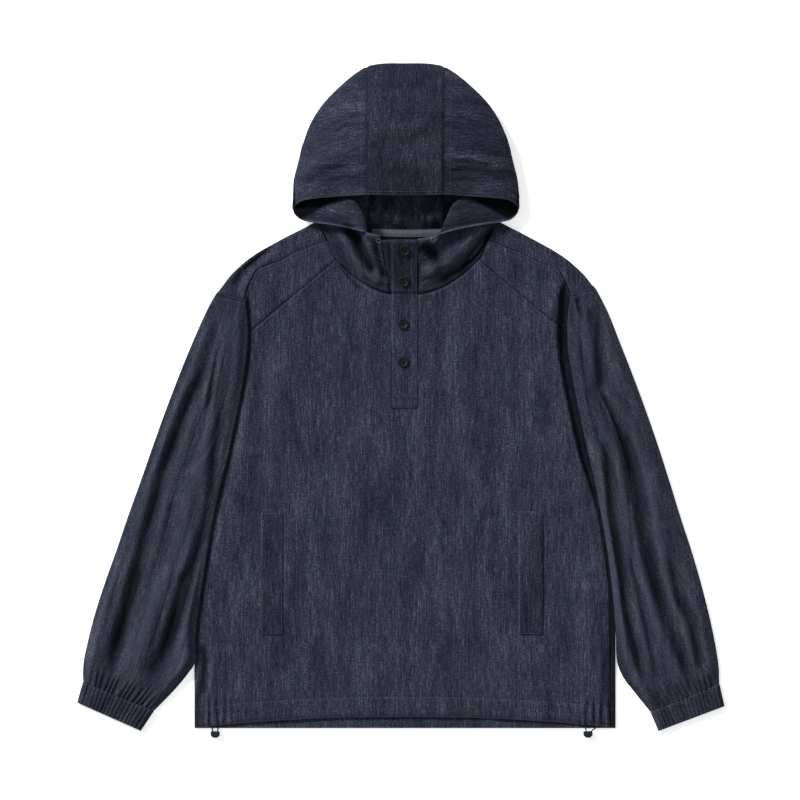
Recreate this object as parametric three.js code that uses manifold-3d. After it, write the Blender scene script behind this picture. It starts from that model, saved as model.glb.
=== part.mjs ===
// A hooded half-placket anorak pullover in slub denim, laid flat on its back.
// Millimetres, +Z up, +Y towards the hood, +X towards the sleeve on the right of the picture.
// Each piece is a wall of cloth as a maker would cut it, parted from its neighbours at the seams.
import * as THREE from "three";
import { mergeVertices } from "three/addons/utils/BufferGeometryUtils.js";
import Module from "manifold-3d";

const wasm = await Module();
wasm.setup();

// Driving sizes
const CLOTH = 2.0; // body panels, with their seam allowances
const SLEEVE_CLOTH = 1.8;
const HOOD_CLOTH = 1.8;
const CUFF_CLOTH = 2.8; // folded ribbing
const STRIP_CLOTH = 1.2; // one layer of the placket
const HALF_WIDTH = 301; // the hem, folded flat, is 602 wide
const UNDERARM_Y = 355;
const NECK_HALF = 107; // from the middle to the yoke's corner at the neckline
const LEFT_SHIFT = 7.2; // the left shoulder lies this much nearer the middle
const SIDES = [
  { name: "left", sign: -1 },
  { name: "right", sign: 1 },
];

// Heights of the layers
const FRONT_EDGE_TOP = 4.3; // the front's top face where it lies on the back
const FRONT_RISE = 2.5;
const RISE_WIDTH = 20;
const SLEEVE_ON_FRONT = 4.8; // the sleeve's under face on the front's edge
const SLEEVE_ON_BACK = 2.5;

// Numbers and tables
const clamp = (value, low, high) => Math.min(high, Math.max(low, value));
const lerp = (a, b, f) => a + (b - a) * f;
const smooth = (t) => clamp(t, 0, 1) ** 2 * (3 - 2 * clamp(t, 0, 1));
const steps = (count) => Array.from({ length: count + 1 }, (_, i) => i / count);

function table(columns, rows) {
  const names = columns.split(" ");
  return rows.map((row) => Object.fromEntries(row.map((value, i) => [names[i], value])));
}

// Catmull-Rom through the rows of a table, t rows after its first
function between(rows, t) {
  const last = rows.length - 1;
  const i = clamp(Math.floor(t), 0, last - 1);
  const f = t - i;
  const near = [i - 1, i, i + 1, i + 2].map((k) => rows[clamp(k, 0, last)]);
  const made = {};
  for (const name of Object.keys(rows[0])) {
    const [a, b, c, d] = near.map((row) => row[name]);
    const bend = 2 * a - 5 * b + 4 * c - d + (3 * b - a - 3 * c + d) * f;
    made[name] = 0.5 * (2 * b + (c - a) * f + bend * f * f);
  }
  return made;
}

// How many rows after the first a column reaches a value; the column rises or falls all the way
function rowAt(rows, column, value) {
  const way = Math.sign(rows[1][column] - rows[0][column]);
  let i = 0;
  while (i < rows.length - 2 && way * value > way * rows[i + 1][column]) i += 1;
  const from = rows[i][column];
  return i + clamp((value - from) / (rows[i + 1][column] - from), 0, 1);
}

// Solids
function solidOf(geometry) {
  const bare = geometry.index ? geometry.toNonIndexed() : geometry;
  const plain = new THREE.BufferGeometry();
  plain.setAttribute("position", bare.getAttribute("position"));
  const merged = mergeVertices(plain, 1e-3);
  const triVerts = new Uint32Array(merged.index.array);
  return new wasm.Manifold(
    new wasm.Mesh({ numProp: 3, vertProperties: merged.attributes.position.array, triVerts }),
  );
}

function geometryOf(solid) {
  const made = solid.getMesh();
  const geometry = new THREE.BufferGeometry();
  geometry.setAttribute("position", new THREE.BufferAttribute(made.vertProperties, made.numProp));
  geometry.setIndex(new THREE.BufferAttribute(made.triVerts, 1));
  return geometry;
}

const cut = (geometry, tool) => geometryOf(solidOf(geometry).subtract(solidOf(tool)));
const join = (a, b) => geometryOf(solidOf(a).add(solidOf(b)));

// A closed wall between two grids of points; a ring's columns meet again at the first.
function wall(outer, inner, ring = false) {
  const rows = outer.length;
  const columns = outer[0].length;
  const points = [...outer.flat(), ...inner.flat()];
  const under = rows * columns;
  const at = (r, c) => r * columns + (c % columns);
  const faces = [];
  const quad = (a, b, c, d) => faces.push([a, b, c], [a, c, d]);
  const lastColumn = ring ? columns : columns - 1;
  for (let r = 0; r < rows - 1; r += 1) {
    for (let c = 0; c < lastColumn; c += 1) {
      const corners = [at(r, c), at(r, c + 1), at(r + 1, c + 1), at(r + 1, c)];
      quad(...corners);
      quad(...corners.map((k) => k + under).reverse());
    }
    if (!ring) {
      const end = columns - 1;
      quad(at(r + 1, 0), at(r + 1, 0) + under, at(r, 0) + under, at(r, 0));
      quad(at(r, end), at(r, end) + under, at(r + 1, end) + under, at(r + 1, end));
    }
  }
  for (let c = 0; c < lastColumn; c += 1) {
    const top = rows - 1;
    quad(at(0, c), at(0, c) + under, at(0, c + 1) + under, at(0, c + 1));
    quad(at(top, c + 1), at(top, c + 1) + under, at(top, c) + under, at(top, c));
  }
  const geometry = new THREE.BufferGeometry();
  const build = (list) => {
    geometry.setAttribute("position", new THREE.Float32BufferAttribute(points.flat(), 3));
    geometry.setIndex(list.flat());
    return mergeVertices(geometry, 1e-3);
  };
  const turned = solidOf(build(faces)).volume() < 0;
  return build(turned ? faces.map(([a, b, c]) => [a, c, b]) : faces);
}

const raised = (grid, dz) => grid.map((row) => row.map(([x, y, z]) => [x, y, z + dz]));

// The unit normal of a grid of points at one of them
function normalAt(grid, r, c) {
  const row = (k) => grid[clamp(k, 0, grid.length - 1)];
  const column = (k) => clamp(k, 0, grid[0].length - 1);
  const along = new THREE.Vector3(...row(r + 1)[c]).sub(new THREE.Vector3(...row(r - 1)[c]));
  const across = new THREE.Vector3(...row(r)[column(c + 1)]);
  across.sub(new THREE.Vector3(...row(r)[column(c - 1)]));
  return across.cross(along).normalize();
}

// A wall half its thickness to each side of a grid, never below the floor
function wallAround(middle, thickness) {
  const moved = (way) =>
    middle.map((row, r) =>
      row.map((point, c) => {
        const made = normalAt(middle, r, c).multiplyScalar((way * thickness) / 2);
        made.add(new THREE.Vector3(...point));
        return [made.x, made.y, Math.max(0, made.z)];
      }),
    );
  return wall(moved(1), moved(-1));
}

// Outlines of the body, as distances from the middle, by height up the body
const FRONT_ARMHOLE = table("y x", [
  [355, 301],
  [395, 276],
  [430, 262],
  [470, 252],
  [510, 246],
  [545, 243],
  [556, 242],
  [619.5, 237],
]);
const BACK_ARMHOLE = table("y x", [
  [355, 301],
  [400, 288],
  [470, 272],
  [540, 266],
  [600, 270],
  [631, 269.5],
]);

const leftShift = (y) => LEFT_SHIFT * smooth((y - 330) / 200);
const sideShift = (sign, y) => (sign < 0 ? leftShift(y) : 0);
const onSide = (sign, x, y) => sign * (x - sideShift(sign, y));

function reach(armhole, sign, y) {
  if (y <= UNDERARM_Y) return HALF_WIDTH;
  return between(armhole, rowAt(armhole, "y", y)).x - sideShift(sign, y);
}

// The sleeves' two edges from the shoulder to the cuff
const SLEEVE_EDGES = {
  right: table("innerX innerY outerX outerY", [
    [236, 618.5, 271, 629.5],
    [232, 580, 289, 594.5],
    [233, 540, 306.5, 553],
    [240, 497, 325, 506],
    [250, 447, 344, 455],
    [261, 396, 362, 403],
    [272.5, 345, 379, 350],
    [282.5, 293, 395, 298],
    [291, 240, 411, 249],
    [297.5, 186, 425, 200],
    [301, 135, 436.5, 154],
    [302.5, 98, 444.5, 115],
    [311, 74, 448.5, 88],
    [329, 50, 449, 74],
    [350, 24, 449.3, 64.5],
  ]),
  left: table("innerX innerY outerX outerY", [
    [-227, 610, -266.5, 621],
    [-224, 575, -281.5, 600],
    [-225, 540, -301, 558],
    [-230.5, 497, -320, 512],
    [-240, 447, -340, 460],
    [-251, 396, -358.5, 409],
    [-263.5, 345, -377, 356],
    [-274.5, 293, -395, 306],
    [-284, 240, -412, 256],
    [-292, 186, -429, 208],
    [-298.5, 135, -443.5, 163],
    [-302.5, 98, -453, 126],
    [-314, 75, -459, 98],
    [-333, 51, -460.5, 80],
    [-358.5, 25, -460, 67],
  ]),
};
const sideName = (sign) => (sign < 0 ? "left" : "right");

function sleeveInner(sign, y) {
  const rows = SLEEVE_EDGES[sideName(sign)];
  return Math.abs(between(rows, rowAt(rows, "innerY", y)).innerX);
}

// The front, from its flat edge up its rise to its level middle
const FLAT_EDGE = 4;
const riseFoot = (sign, y) =>
  Math.min(sleeveInner(sign, y), reach(FRONT_ARMHOLE, sign, y) - FLAT_EDGE);

function frontTop(x, y) {
  const sign = x < 0 ? -1 : 1;
  const inward = riseFoot(sign, y) - Math.abs(x);
  return FRONT_EDGE_TOP + FRONT_RISE * smooth(inward / RISE_WIDTH);
}

const HEM_ARCH = 16; // the front's hem lies higher in the middle
const HEM_BAND = 28;
const hemY = (x) => HEM_ARCH * (1 - Math.min(1, Math.abs(x) / HALF_WIDTH) ** 2.3);
const neckHalf = (x) => (x < 0 ? NECK_HALF - LEFT_SHIFT : NECK_HALF);
const NECK_LOW = 618.5;
const NECK_RISE = 52;
const YOKE_SLOPE = 0.834;

function neckY(x) {
  return NECK_LOW + NECK_RISE * Math.min(1, Math.abs(x) / neckHalf(x)) ** 2.2;
}

function frontTopY(x) {
  const past = Math.abs(x) - neckHalf(x);
  return past < 0 ? neckY(x) : 668 - YOKE_SLOPE * past;
}

const MIDDLE_COLUMNS = [0, 0.104, 0.208, 0.311, 0.41, 0.51, 0.64, 0.76, 0.88, 1];
const HEM_ROWS = [0, HEM_BAND - 0.5, HEM_BAND + 1];
const BODY_ROWS = steps(12).slice(1);

function frontColumn(sign, column, y) {
  const foot = riseFoot(sign, y);
  const outer = [foot - RISE_WIDTH / 2, foot, reach(FRONT_ARMHOLE, sign, y)];
  const past = column - MIDDLE_COLUMNS.length;
  return past < 0 ? MIDDLE_COLUMNS[column] * (foot - RISE_WIDTH) : outer[past];
}

function frontPoint(sign, column, row) {
  let x = 0;
  let y = 0;
  for (let pass = 0; pass < 4; pass += 1) {
    const hem = hemY(x);
    const bandTop = hem + HEM_ROWS[2];
    const up = row - HEM_ROWS.length;
    y = up < 0 ? hem + HEM_ROWS[row] : lerp(bandTop, frontTopY(x), BODY_ROWS[up]);
    x = sign * frontColumn(sign, column, y);
  }
  return [x, y, frontTop(x, y)];
}

function frontGrid() {
  const count = MIDDLE_COLUMNS.length + 3;
  const left = Array.from({ length: count - 1 }, (_, i) => [-1, count - 1 - i]);
  const right = Array.from({ length: count }, (_, i) => [1, i]);
  return Array.from({ length: HEM_ROWS.length + BODY_ROWS.length }, (_, row) =>
    [...left, ...right].map(([sign, column]) => frontPoint(sign, column, row)),
  );
}

// The placket: two strips in the slit of the front, running on up the collar
const SLIT = { left: -20.4, right: 18.8, bottom: 455 };
const PLACKET = { left: -19.7, right: 18.4, top: 697, corner: 6 };
const HEM_FOLD = 0.6; // how far the turned hem stands up

function frontPanel() {
  const under = raised(frontGrid(), -CLOTH);
  const top = frontGrid();
  const folded = top.map((row, r) => (r < 2 ? raised([row], HEM_FOLD)[0] : row));
  const slit = new THREE.BoxGeometry(SLIT.right - SLIT.left, 300, 60);
  slit.translate((SLIT.left + SLIT.right) / 2, SLIT.bottom + 150, 0);
  return cut(wall(folded, under), slit);
}

// The back wraps over the shoulders to the forward shoulder seams.
const SHOULDER = table("edgeX edgeY seamX seamY radius", [
  [134, 722.5, 120, 698, 3.5],
  [151.6, 715, 143, 689, 3.5],
  [174.5, 703.6, 166, 680, 3.5],
  [196, 692, 190, 668, 3.5],
  [216, 680.7, 209, 661.5, 3.5],
  [233, 669, 219, 656.5, 3.4],
  [246, 657.8, 225, 648, 3.2],
  [257.4, 646.4, 230, 638, 3],
  [266, 635, 235, 626, 2.8],
  [269.5, 631, 237.5, 620.5, 2.7],
]);
const LEFT_DROP = 8; // the left shoulder's tip lies lower
const WRAP_LEG = 22;
const WRAP_ARC_STEPS = 6;

function shoulderRows(sign) {
  return SHOULDER.map((row, i) => {
    const drop = sign < 0 && i === SHOULDER.length - 1 ? LEFT_DROP : 0;
    const edge = [onSide(sign, row.edgeX, row.edgeY), row.edgeY - drop];
    const seam = [onSide(sign, row.seamX, row.seamY), row.seamY - drop];
    const length = Math.hypot(edge[0] - seam[0], edge[1] - seam[1]);
    const out = [(edge[0] - seam[0]) / length, (edge[1] - seam[1]) / length];
    return { edge, seam, out, radius: row.radius };
  });
}

function shoulderWrap(sign) {
  const path = (row, radius) => {
    const middle = row.radius;
    const centre = row.edge.map((value, k) => value - row.radius * row.out[k]);
    const leg = row.edge.map((value, k) => value - WRAP_LEG * row.out[k]);
    const arc = steps(WRAP_ARC_STEPS).map((f) => {
      const angle = -Math.PI / 2 + Math.PI * f;
      const away = radius * Math.cos(angle);
      const z = middle + radius * Math.sin(angle);
      return [centre[0] + away * row.out[0], centre[1] + away * row.out[1], z];
    });
    return [[...leg, middle - radius], ...arc, [...row.seam, middle + radius]];
  };
  const rows = shoulderRows(sign);
  const outer = rows.map((row) => path(row, row.radius));
  const inner = rows.map((row) => path(row, row.radius - CLOTH));
  return wall(outer, inner);
}

const BACK_NECK = [
  [124, 716.5],
  [110, 710.5],
  [80, 708.6],
];

function backPanel() {
  const half = (sign) => {
    const side = BACK_ARMHOLE.slice(0, -1).map(({ x, y }) => [onSide(sign, x, y), y]);
    const shoulder = shoulderRows(sign).map(({ edge, out, radius }) =>
      edge.map((value, k) => value - (radius + 1) * out[k]),
    );
    const neck = BACK_NECK.map(([x, y]) => [onSide(sign, x, y), y]);
    return [[sign * HALF_WIDTH, 0], ...side, ...shoulder.reverse(), ...neck];
  };
  const outline = [...half(1), ...half(-1).reverse()].map(([x, y]) => new THREE.Vector2(x, y));
  const shape = new THREE.Shape(outline);
  const sheet = new THREE.ExtrudeGeometry(shape, { depth: CLOTH, bevelEnabled: false });
  return join(join(sheet, shoulderWrap(1)), shoulderWrap(-1));
}

// The front yokes, ruled from the slanting seam up to the shoulder seam
const YOKE = table("lowX lowY highX highY", [
  [107.3, 668.5, 119.5, 697.5],
  [130, 649.5, 143, 688.5],
  [155, 628.5, 166, 679.5],
  [182, 606, 190, 667.5],
  [206, 586, 209, 661],
  [222, 573, 219, 656],
  [232, 564.5, 229, 639],
  [242, 556, 237, 619.5],
]);

function frontYoke(sign) {
  const top = steps(5).map((f) =>
    YOKE.map((row, i) => {
      const drop = sign < 0 && i === YOKE.length - 1 ? LEFT_DROP * f : 0;
      const y = lerp(row.lowY, row.highY, f) - drop;
      const x = onSide(sign, lerp(row.lowX, row.highX, f), 600);
      return [x, y, frontTop(x, y)];
    }),
  );
  return wall(top, raised(top, -CLOTH));
}

// Folds of the sleeves, as soft troughs along lines
const SLEEVE_FOLDS = {
  left: [
    { depth: 2.6, width: 9, line: [[-316, 485], [-345, 398], [-370, 315], [-403, 186], [-426, 83]] },
    { depth: 2.6, width: 9, line: [[-252, 453], [-267, 366], [-287, 289], [-333, 169], [-383, 52]] },
    { depth: 1.2, width: 6, line: [[-280, 453], [-295, 392], [-306, 340]] },
  ],
  right: [
    { depth: 2.6, width: 9, line: [[283, 480], [317, 400], [336, 320], [353, 223], [389, 112], [413, 50]] },
    { depth: 2.4, width: 8, line: [[285, 423], [296, 320], [310, 223], [325, 129], [346, 57]] },
    { depth: 2, width: 8, line: [[319, 252], [346, 140], [367, 37]] },
    { depth: 2, width: 8, line: [[379, 252], [389, 187], [412, 152], [426, 69]] },
  ],
};

function distanceTo(line, x, y) {
  let nearest = Infinity;
  for (let i = 0; i < line.length - 1; i += 1) {
    const [[ax, ay], [bx, by]] = [line[i], line[i + 1]];
    const length2 = (bx - ax) ** 2 + (by - ay) ** 2;
    const f = clamp(((x - ax) * (bx - ax) + (y - ay) * (by - ay)) / length2, 0, 1);
    nearest = Math.min(nearest, Math.hypot(x - lerp(ax, bx, f), y - lerp(ay, by, f)));
  }
  return nearest;
}

// How high the sleeve's under face is held up by the body beneath it
const PLATEAU = 4;
const BACK_PLATEAU = 3;
const BACK_FALL = 9;
const sleeveFall = (y) => lerp(26, 13, smooth((y - 300) / 100));

function sleeveFloor(x, y) {
  const sign = x < 0 ? -1 : 1;
  const past = (armhole, plateau) => Math.abs(x) - reach(armhole, sign, y) - plateau;
  const onFront = 1 - smooth(past(FRONT_ARMHOLE, PLATEAU) / sleeveFall(y));
  const onBack = 1 - smooth(past(BACK_ARMHOLE, BACK_PLATEAU) / BACK_FALL);
  return Math.max(SLEEVE_ON_FRONT * onFront, SLEEVE_ON_BACK * onBack);
}

const SLEEVE_LOW = 4.2; // the least that two layers of sleeve stand
const SLEEVE_HIGH = 7.3;
const GATHERS = 18;
const GATHER_STATIONS = 1.3; // how far up from the cuff the gathers reach
const GATHER_HEIGHT = 1.3;
const TOP_COLUMNS = 2 * GATHERS;
const EDGE_ROUND = 1.2;
const SLEEVE_STATIONS = [0, 0.8, 1.7, 2.8, 4, 4.9, 5.75, 6.8, 8, 9.3, 10.6, 11.8, 12.9, 14];
const LAST_STATION = 14;

function sleeveHeight(sign, x, y, t) {
  const body = lerp(SLEEVE_LOW, SLEEVE_HIGH, smooth(t / 2));
  const folds = SLEEVE_FOLDS[sideName(sign)];
  const dips = folds.map(({ depth, width, line }) =>
    depth * Math.exp(-((distanceTo(line, x, y) / width) ** 2)));
  return Math.max(SLEEVE_LOW, body - Math.max(...dips));
}

// The places across a sleeve's under face where it leaves the front and the back
function floorBreaks(sign, edges) {
  const yAt = (x) => {
    const f = (x - edges.innerX) / (edges.outerX - edges.innerX);
    return lerp(edges.innerY, edges.outerY, clamp(f, 0, 1));
  };
  const crossing = (armhole, past) => {
    let x = edges.innerX;
    for (let pass = 0; pass < 4; pass += 1) x = sign * (reach(armhole, sign, yAt(x)) + past(yAt(x)));
    return x;
  };
  return [
    crossing(FRONT_ARMHOLE, () => PLATEAU),
    crossing(FRONT_ARMHOLE, (y) => PLATEAU + sleeveFall(y) / 2),
    crossing(FRONT_ARMHOLE, (y) => PLATEAU + sleeveFall(y)),
    crossing(BACK_ARMHOLE, () => BACK_PLATEAU),
    crossing(BACK_ARMHOLE, () => BACK_PLATEAU + BACK_FALL),
  ];
}

// One section of a sleeve, round from its inner edge over the top and back beneath
function sleeveSection(sign, t) {
  const edges = between(SLEEVE_EDGES[sideName(sign)], t);
  const width = Math.hypot(edges.outerX - edges.innerX, edges.outerY - edges.innerY);
  const place = (s) => [
    lerp(edges.innerX, edges.outerX, s / width),
    lerp(edges.innerY, edges.outerY, s / width),
  ];
  const gather = GATHER_HEIGHT * smooth(1 - (LAST_STATION - t) / GATHER_STATIONS);
  const inside = (s) => SLEEVE_CLOTH + (s * (width - 2 * SLEEVE_CLOTH)) / width;
  const outer = [];
  const inner = [];
  const add = (s, share, ripple = 0) => {
    const [x, y] = place(s);
    const floor = sleeveFloor(x, y);
    const height = sleeveHeight(sign, x, y, t);
    outer.push([x, y, floor + share * height + ripple]);
    const hollow = height - 2 * SLEEVE_CLOTH;
    inner.push([...place(inside(s)), floor + SLEEVE_CLOTH + share * hollow]);
  };
  const sideShare = EDGE_ROUND / SLEEVE_LOW;
  add(0, sideShare);
  add(0, 1 - sideShare);
  steps(TOP_COLUMNS).forEach((f, i) => {
    add(lerp(EDGE_ROUND, width - EDGE_ROUND, f), 1, i % 2 ? -gather : 0);
  });
  add(width, 1 - sideShare);
  add(width, sideShare);
  const spread = floorBreaks(sign, edges)
    .map((x) => ((x - edges.innerX) / (edges.outerX - edges.innerX)) * width)
    .concat([0.88 * width])
    .sort((a, b) => a - b);
  const bottom = spread.map((s, i) =>
    clamp(s, EDGE_ROUND + 1.2 * (i + 1), width - EDGE_ROUND - 1.2 * (spread.length - i)));
  [EDGE_ROUND, ...bottom, width - EDGE_ROUND].reverse().forEach((s) => add(s, 0));
  return { outer, inner };
}

function sleeve(sign) {
  const sections = SLEEVE_STATIONS.map((t) => sleeveSection(sign, t));
  const pick = (name) => sections.map((section) => section[name]);
  return wall(pick("outer"), pick("inner"), true);
}

// The cuffs: rib-knit tubes, their ribs raised over a plain inside
const CUFF_EDGES = {
  right: table("innerX innerY outerX outerY", [
    [350.2, 23.5, 449.5, 64],
    [356, 10, 453, 48],
    [362, -3.1, 456.2, 33.6],
  ]),
  left: table("innerX innerY outerX outerY", [
    [-358.8, 24.5, -460.2, 66.5],
    [-368, 10.5, -464.5, 52],
    [-377.5, -2.7, -468.8, 38.3],
  ]),
};
const CUFF_HEIGHT = 8.2;
const RIBS = 17;
const RIB_HEIGHT = 0.9;
const RIB_COLUMNS = 3; // a groove and the two sides of its crest
const CUFF_ROUND = 2; // how far its folded sides are rounded

function cuff(sign) {
  const outer = [];
  const inner = [];
  for (const edges of CUFF_EDGES[sideName(sign)]) {
    const width = Math.hypot(edges.outerX - edges.innerX, edges.outerY - edges.innerY);
    const ring = { outer: [], inner: [] };
    const add = (s, z, rib = 0) => {
      const inside = CUFF_CLOTH + (s * (width - 2 * CUFF_CLOTH)) / width;
      const hollow = (z * (CUFF_HEIGHT - 2 * CUFF_CLOTH)) / CUFF_HEIGHT;
      const place = (along) => [
        lerp(edges.innerX, edges.outerX, along / width),
        lerp(edges.innerY, edges.outerY, along / width),
      ];
      ring.outer.push([...place(s), z + rib]);
      ring.inner.push([...place(inside), CUFF_CLOTH + hollow]);
    };
    add(0, CUFF_ROUND);
    add(0, CUFF_HEIGHT - CUFF_ROUND);
    steps(RIBS * RIB_COLUMNS).forEach((f, i) => {
      const rib = i % RIB_COLUMNS === 0 ? 0 : RIB_HEIGHT;
      add(lerp(CUFF_ROUND, width - CUFF_ROUND, f), CUFF_HEIGHT, rib);
    });
    add(width, CUFF_HEIGHT - CUFF_ROUND);
    add(width, CUFF_ROUND);
    [0.98, 0.66, 0.34, 0.02].forEach((f) => add(f * width, 0));
    outer.push(ring.outer);
    inner.push(ring.inner);
  }
  return wall(outer, inner, true);
}

// The hood: one row of points for each line from its rim, over its outside, down to the neckline.
// The middles of the wall; rim first, then over the fold and back to the neck seam.
const HOOD_PATHS = {
  frontEdge: [[19, 698.5, 27.5], [19, 693, 26], [19, 686, 24], [19, 674, 19.5], [19, 660, 14.5],
    [19, 641, 9.5], [19, 0, 5.8]],
  collar: [[40, 702.6, 28.5], [39.5, 699, 27], [40, 692, 24.5], [40, 682, 20.5], [41, 668, 15],
    [42, 650, 10], [45, 0, 5.8]],
  collarSide: [[74, 712, 28], [66, 722, 31], [60, 728, 31.5], [58, 724, 28], [62, 708, 20],
    [68, 680, 12], [76, 0, 5.8]],
  yokeCorner: [[107, 718.6, 25], [90, 735, 31], [75, 750, 33], [72, 748, 26], [84, 728, 17],
    [99, 704, 10], [106, 0, 5.8]],
  neckSide: [[136, 722.5, 17], [125, 742, 19], [104, 765, 17], [103, 768, 11], [112, 755, 8],
    [122, 735, 7.4], [120.5, 702.5, 6.4]],
  shoulder: [[150, 728, 14], [146, 742, 14.5], [138, 760, 13], [134, 768, 9], [134, 760, 6.5],
    [133, 745, 6], [129.5, 716.5, 5.6]],
  corner: [[161, 741, 14], [162, 752, 13], [162, 764, 11], [159, 775, 7], [150, 772, 3.4],
    [141, 750, 3], [134.5, 727, 3.5]],
  backSide: [[151.6, 752, 23], [153.5, 772, 22], [155, 795, 18], [154, 806, 10], [146, 800, 2.2],
    [134, 760, 1.2], [122, 718.5, 1]],
  backQuarter: [[129, 756.5, 33], [132, 795, 33], [133, 835, 27], [136, 864, 13], [124, 848, 1],
    [112, 780, 1], [106, 711.8, 1]],
  crownSide: [[94, 759, 42], [96, 812, 43], [98, 868, 36], [102, 910, 15], [92, 893, 1],
    [84, 800, 1], [82, 710, 1]],
  crownSeam: [[56, 761, 48], [56, 815, 50], [56, 888, 41], [56, 945, 16], [55, 927, 1],
    [55, 820, 1], [55, 709.6, 1]],
  crown: [[0, 760, 50], [0, 815, 52], [0, 890, 43], [0, 950.5, 17], [0, 930, 1],
    [0, 820, 1], [0, 709.2, 1]],
};
// The left collar stands further open than the right one.
const OPEN_LEFT = {
  frontEdge: [[35, 704, 27.5], [34.5, 698, 26.5], [33.5, 690, 24], [31.5, 677, 19.5],
    [28.5, 662, 14.5], [25, 642, 9.5], [21.6, 0, 5.8]],
  collar: [[52, 707, 28.5], [52, 703, 27], [51.5, 695, 24.5], [50, 684, 20.5], [49, 669, 15],
    [48.5, 651, 10], [48, 0, 5.8]],
};
const HOOD_LEFT_SHIFTS = [2, 2, 2, 2, 3, 5, 7.2];
const NECK_SEAM = 0.9;

function hoodPath(name, sign) {
  const open = sign < 0 && name in OPEN_LEFT;
  const points = open ? OPEN_LEFT[name] : HOOD_PATHS[name];
  return points.map(([px, py, z], i) => {
    const shift = sign < 0 && !open ? HOOD_LEFT_SHIFTS[i] * Math.min(1, px / 100) : 0;
    const x = sign * (px - shift);
    return { x, y: py || neckY(x) + NECK_SEAM, z };
  });
}

const PATH_NAMES = Object.keys(HOOD_PATHS);
const HOOD_MAP = [
  ...PATH_NAMES.map((name) => hoodPath(name, 1)),
  ...PATH_NAMES.slice(0, -1).reverse().map((name) => hoodPath(name, -1)),
];
const CROWN_SEAM = PATH_NAMES.indexOf("crownSeam");
const LAST_PATH = HOOD_MAP.length - 1;
const SEAM_STEP = 0.006; // of the way from one path to the next
const HOOD_ROWS = 17;

function hoodPoint(path, along) {
  const { x, y, z } = between(HOOD_MAP.map((row) => between(row, along)), path);
  return [x, y, Math.max(HOOD_CLOTH / 2, z)];
}

function hoodPanel(from, to, columns) {
  const rows = steps(HOOD_ROWS).map((f) =>
    steps(columns).map((g) => hoodPoint(lerp(from, to, g), 6 * f)),
  );
  return wallAround(rows, HOOD_CLOTH);
}

// Placket strips, following the front and then the collar's front edge
function placketHeight(y) {
  const edge = HOOD_MAP[0];
  return y < edge[6].y ? edge[6].z : between(edge, rowAt(edge, "y", y)).z;
}

const PLACKET_ROWS = [456.5, 520, 580, 618, 630, 641, 651, 660, 667, 674, 681, 688, 693, 697];

function placketStrip(leftAt, rightAt, lift) {
  const middle = PLACKET_ROWS.map((y) =>
    [0, 0.33, 0.67, 1].map((f) => [lerp(leftAt(y), rightAt(y), f), y, placketHeight(y) + lift]),
  );
  return wall(raised(middle, STRIP_CLOTH / 2), raised(middle, -STRIP_CLOTH / 2));
}

function placketOver() {
  const left = (y) => {
    const up = clamp(y - (PLACKET.top - PLACKET.corner), 0, PLACKET.corner);
    return PLACKET.left + PLACKET.corner - Math.sqrt(PLACKET.corner ** 2 - up ** 2);
  };
  return placketStrip(left, () => PLACKET.right, 1.2);
}

const UNDER_RIGHT = 14;
const UNDER_LIFT = -0.5;

function placketUnder() {
  const edge = HOOD_MAP[LAST_PATH];
  const left = (y) => {
    if (y < NECK_LOW + 2) return PLACKET.left;
    return between(edge, rowAt(edge, "y", y)).x + 1.2;
  };
  return placketStrip(left, () => UNDER_RIGHT, UNDER_LIFT);
}

// Buttons
const BUTTON = { radius: 7.5, thickness: 2.5, holeRadius: 0.9, holeStep: 1.8, seat: 0.3 };
const BUTTON_PLACES = [[-0.9, 682.5], [-2, 638.5], [-2.9, 577.7], [-2.9, 523.4]];

function buttonGeometry() {
  const { radius, thickness } = BUTTON;
  const profile = [
    [0, 0], [radius - 1, 0], [radius, 0.9], [radius, thickness - 0.9], [radius - 0.7, thickness],
    [radius - 1.5, thickness], [radius - 2.2, thickness - 0.7], [0, thickness - 0.7],
  ].map(([r, y]) => new THREE.Vector2(r, y));
  let made = new THREE.LatheGeometry(profile, 18).rotateX(Math.PI / 2);
  for (const [sx, sy] of [[1, 1], [-1, 1], [-1, -1], [1, -1]]) {
    const hole = new THREE.CylinderGeometry(BUTTON.holeRadius, BUTTON.holeRadius, 10, 5);
    hole.rotateX(Math.PI / 2).translate(sx * BUTTON.holeStep, sy * BUTTON.holeStep, 0);
    made = cut(made, hole);
  }
  return made;
}

function placeButton(mesh, [x, y]) {
  const slope = Math.atan2(placketHeight(y + 5) - placketHeight(y - 5), 10);
  const face = placketHeight(y) + 1.2 + STRIP_CLOTH / 2 / Math.cos(slope);
  const off = BUTTON.seat + (slope > 0.05 ? 0.35 : 0);
  mesh.rotation.x = slope;
  mesh.position.set(x, y - off * Math.sin(slope), face + off * Math.cos(slope));
}

// Eyelets at the hood's rim, through a hole in the wall
const EYELET = { flange: 4.2, barrel: 2.5, bore: 1.9, flangeDepth: 0.6, hole: 2.85 };
const EYELET_PATH = { left: LAST_PATH - 0.25, right: 1.02 };
const EYELET_ALONG = 1.35;

function eyeletPlace(name) {
  const path = EYELET_PATH[name];
  const point = (dp, da) => new THREE.Vector3(...hoodPoint(path + dp, EYELET_ALONG + da));
  const across = point(0.05, 0).sub(point(-0.05, 0));
  const along = point(0, 0.05).sub(point(0, -0.05));
  const normal = across.cross(along).normalize();
  if (normal.z < 0) normal.negate();
  const turn = new THREE.Quaternion().setFromUnitVectors(new THREE.Vector3(0, 0, 1), normal);
  return { point: point(0, 0), turn };
}

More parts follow.
